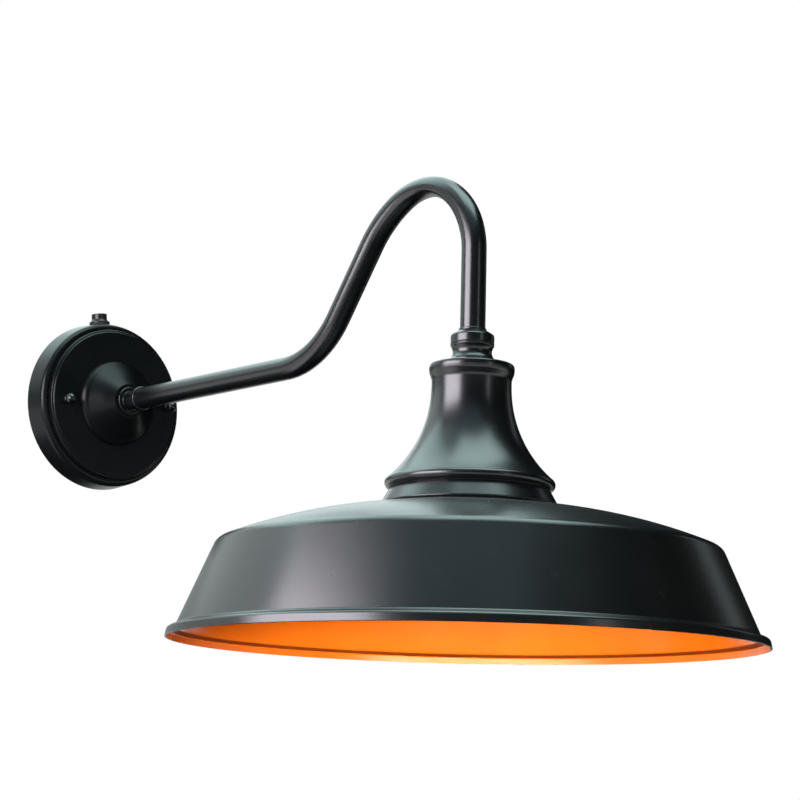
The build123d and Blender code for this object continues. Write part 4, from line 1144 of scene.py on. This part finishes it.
def level_panel(name, sides, depths, height, material):
    """A level panel: its two sides to the viewer's right, its two ends towards the camera, and its height."""
    corners = [(beside(sides[0], depth, height), beside(sides[1], depth, height)) for depth in depths]
    panel(name, corners, material)


TEAL = (0.75, 1.0, 1.0)
BLACK_FLAG = glow("black_flag", 0.008)
GREY_FLAG = glow("grey_flag", 0.5)
STRIP = glow("strip", 0.5)
FRONT = glow("front_fill", 0.32, (0.58, 0.9, 1.08))
SIDE = glow("side_fill", 0.75, TEAL)
LEFT_BACK = glow("left_back", 1.1)
BACK = glow("back_wall", 1.8, (0.85, 1.0, 1.0))
SKY = glow("sky", 2.2, TEAL)
BRIGHT_SKY = glow("bright_sky", 2.8, TEAL)
BOUNCE = glow("bounce", 1.3, (1.0, 0.95, 1.0))
ROOM, CEILING, HORIZON, WALL_FOOT = 2.3, 1.55, 0.5, -0.05
SKY_LEFT, SKY_FRONT, SKY_BACK, LEFT_BACK_END = -0.5, 0.8, -0.45, -0.3
LOW_HALF, PANEL_GAP = 1.6, 0.01
wall_panel("panel_round", 100, -181, ROOM, WALL_FOOT, CEILING, BLACK_FLAG, 32)
wall_panel("panel_back_low", 100, 179, ROOM, WALL_FOOT, HORIZON, GREY_FLAG)
wall_panel("panel_back_left", 100, 152, ROOM, HORIZON, CEILING, LEFT_BACK)
wall_panel("panel_back", 152, 179, ROOM, HORIZON, CEILING, BACK)
wall_panel("panel_right_strip", -125, -134, ROOM - 0.05, 0.35, 1.35, STRIP)
level_panel("panel_top", (-ROOM, ROOM), (-ROOM, ROOM), CEILING + 2 * PANEL_GAP, BLACK_FLAG)
level_panel("panel_sky_left", (-ROOM, SKY_LEFT), (-ROOM, LEFT_BACK_END), CEILING, BRIGHT_SKY)
level_panel("panel_sky_edge", (-ROOM, SKY_LEFT), (LEFT_BACK_END, 0.0), CEILING, SKY)
level_panel("panel_sky_back", (SKY_LEFT, 0.3), (-ROOM, SKY_BACK), CEILING, SKY)
level_panel("panel_sky_middle", (SKY_LEFT, 1.05), (SKY_BACK, SKY_FRONT), CEILING, SKY)
level_panel("panel_side", (-LOW_HALF, SKY_LEFT), (0.0, SKY_FRONT), CEILING, SIDE)
level_panel("panel_front", (-1.3, 0.8), (SKY_FRONT, 2.2), CEILING, FRONT)
level_panel("panel_low", (-LOW_HALF, LOW_HALF), (-LOW_HALF, LOW_HALF), FLOOR_HEIGHT + PANEL_GAP, BLACK_FLAG)
wall_panel("panel_low_right", -105, -168, ROOM - 0.1, -0.5, 0.0, BLACK_FLAG)
level_panel("panel_low_left", (-LOW_HALF, -0.6), (-0.3, SKY_FRONT), FLOOR_HEIGHT + 2 * PANEL_GAP, BOUNCE)

# The overhead lamp points straight down and lies square to the camera
over = beside(0.1, 0.1, 0.75)
overhead = lamp("overhead", over, (over.x, over.y, 0), (0.6, 0.45), 1.4, TEAL)
overhead.rotation_euler = (0, 0, -YAW)
box_place = round_about(58.5, 0.7, 0.163)
lamp("left_box", box_place, (0, SHADE_Y, box_place.z), (0.62, 0.36), 5.45, (0.97, 0.92, 1.0))
lamp("right_strip", round_about(-47, 1.5, 0.3), SHADE_PLACE, (0.12, 0.6), 0.55, (0.9, 1.0, 1.0))
low_front = lamp("low_front", round_about(14, 1.5, -0.32), MOUTH, (0.6, 0.14), 4.5, (1.0, 0.97, 0.92), 60)
low_front.visible_glossy = False

# The rim light shines on the shade alone, and only as a reflection
rim_light = lamp("rim_light", beside(-0.03, 0.25, -0.34), MOUTH, (0.7, 0.1), 5, (1.0, 0.93, 0.68))
rim_light.visible_diffuse = False
shade_only = bpy.data.collections.new("shade_only")
shade_only.objects.link(shade)
rim_light.light_linking.receiver_collection = shade_only
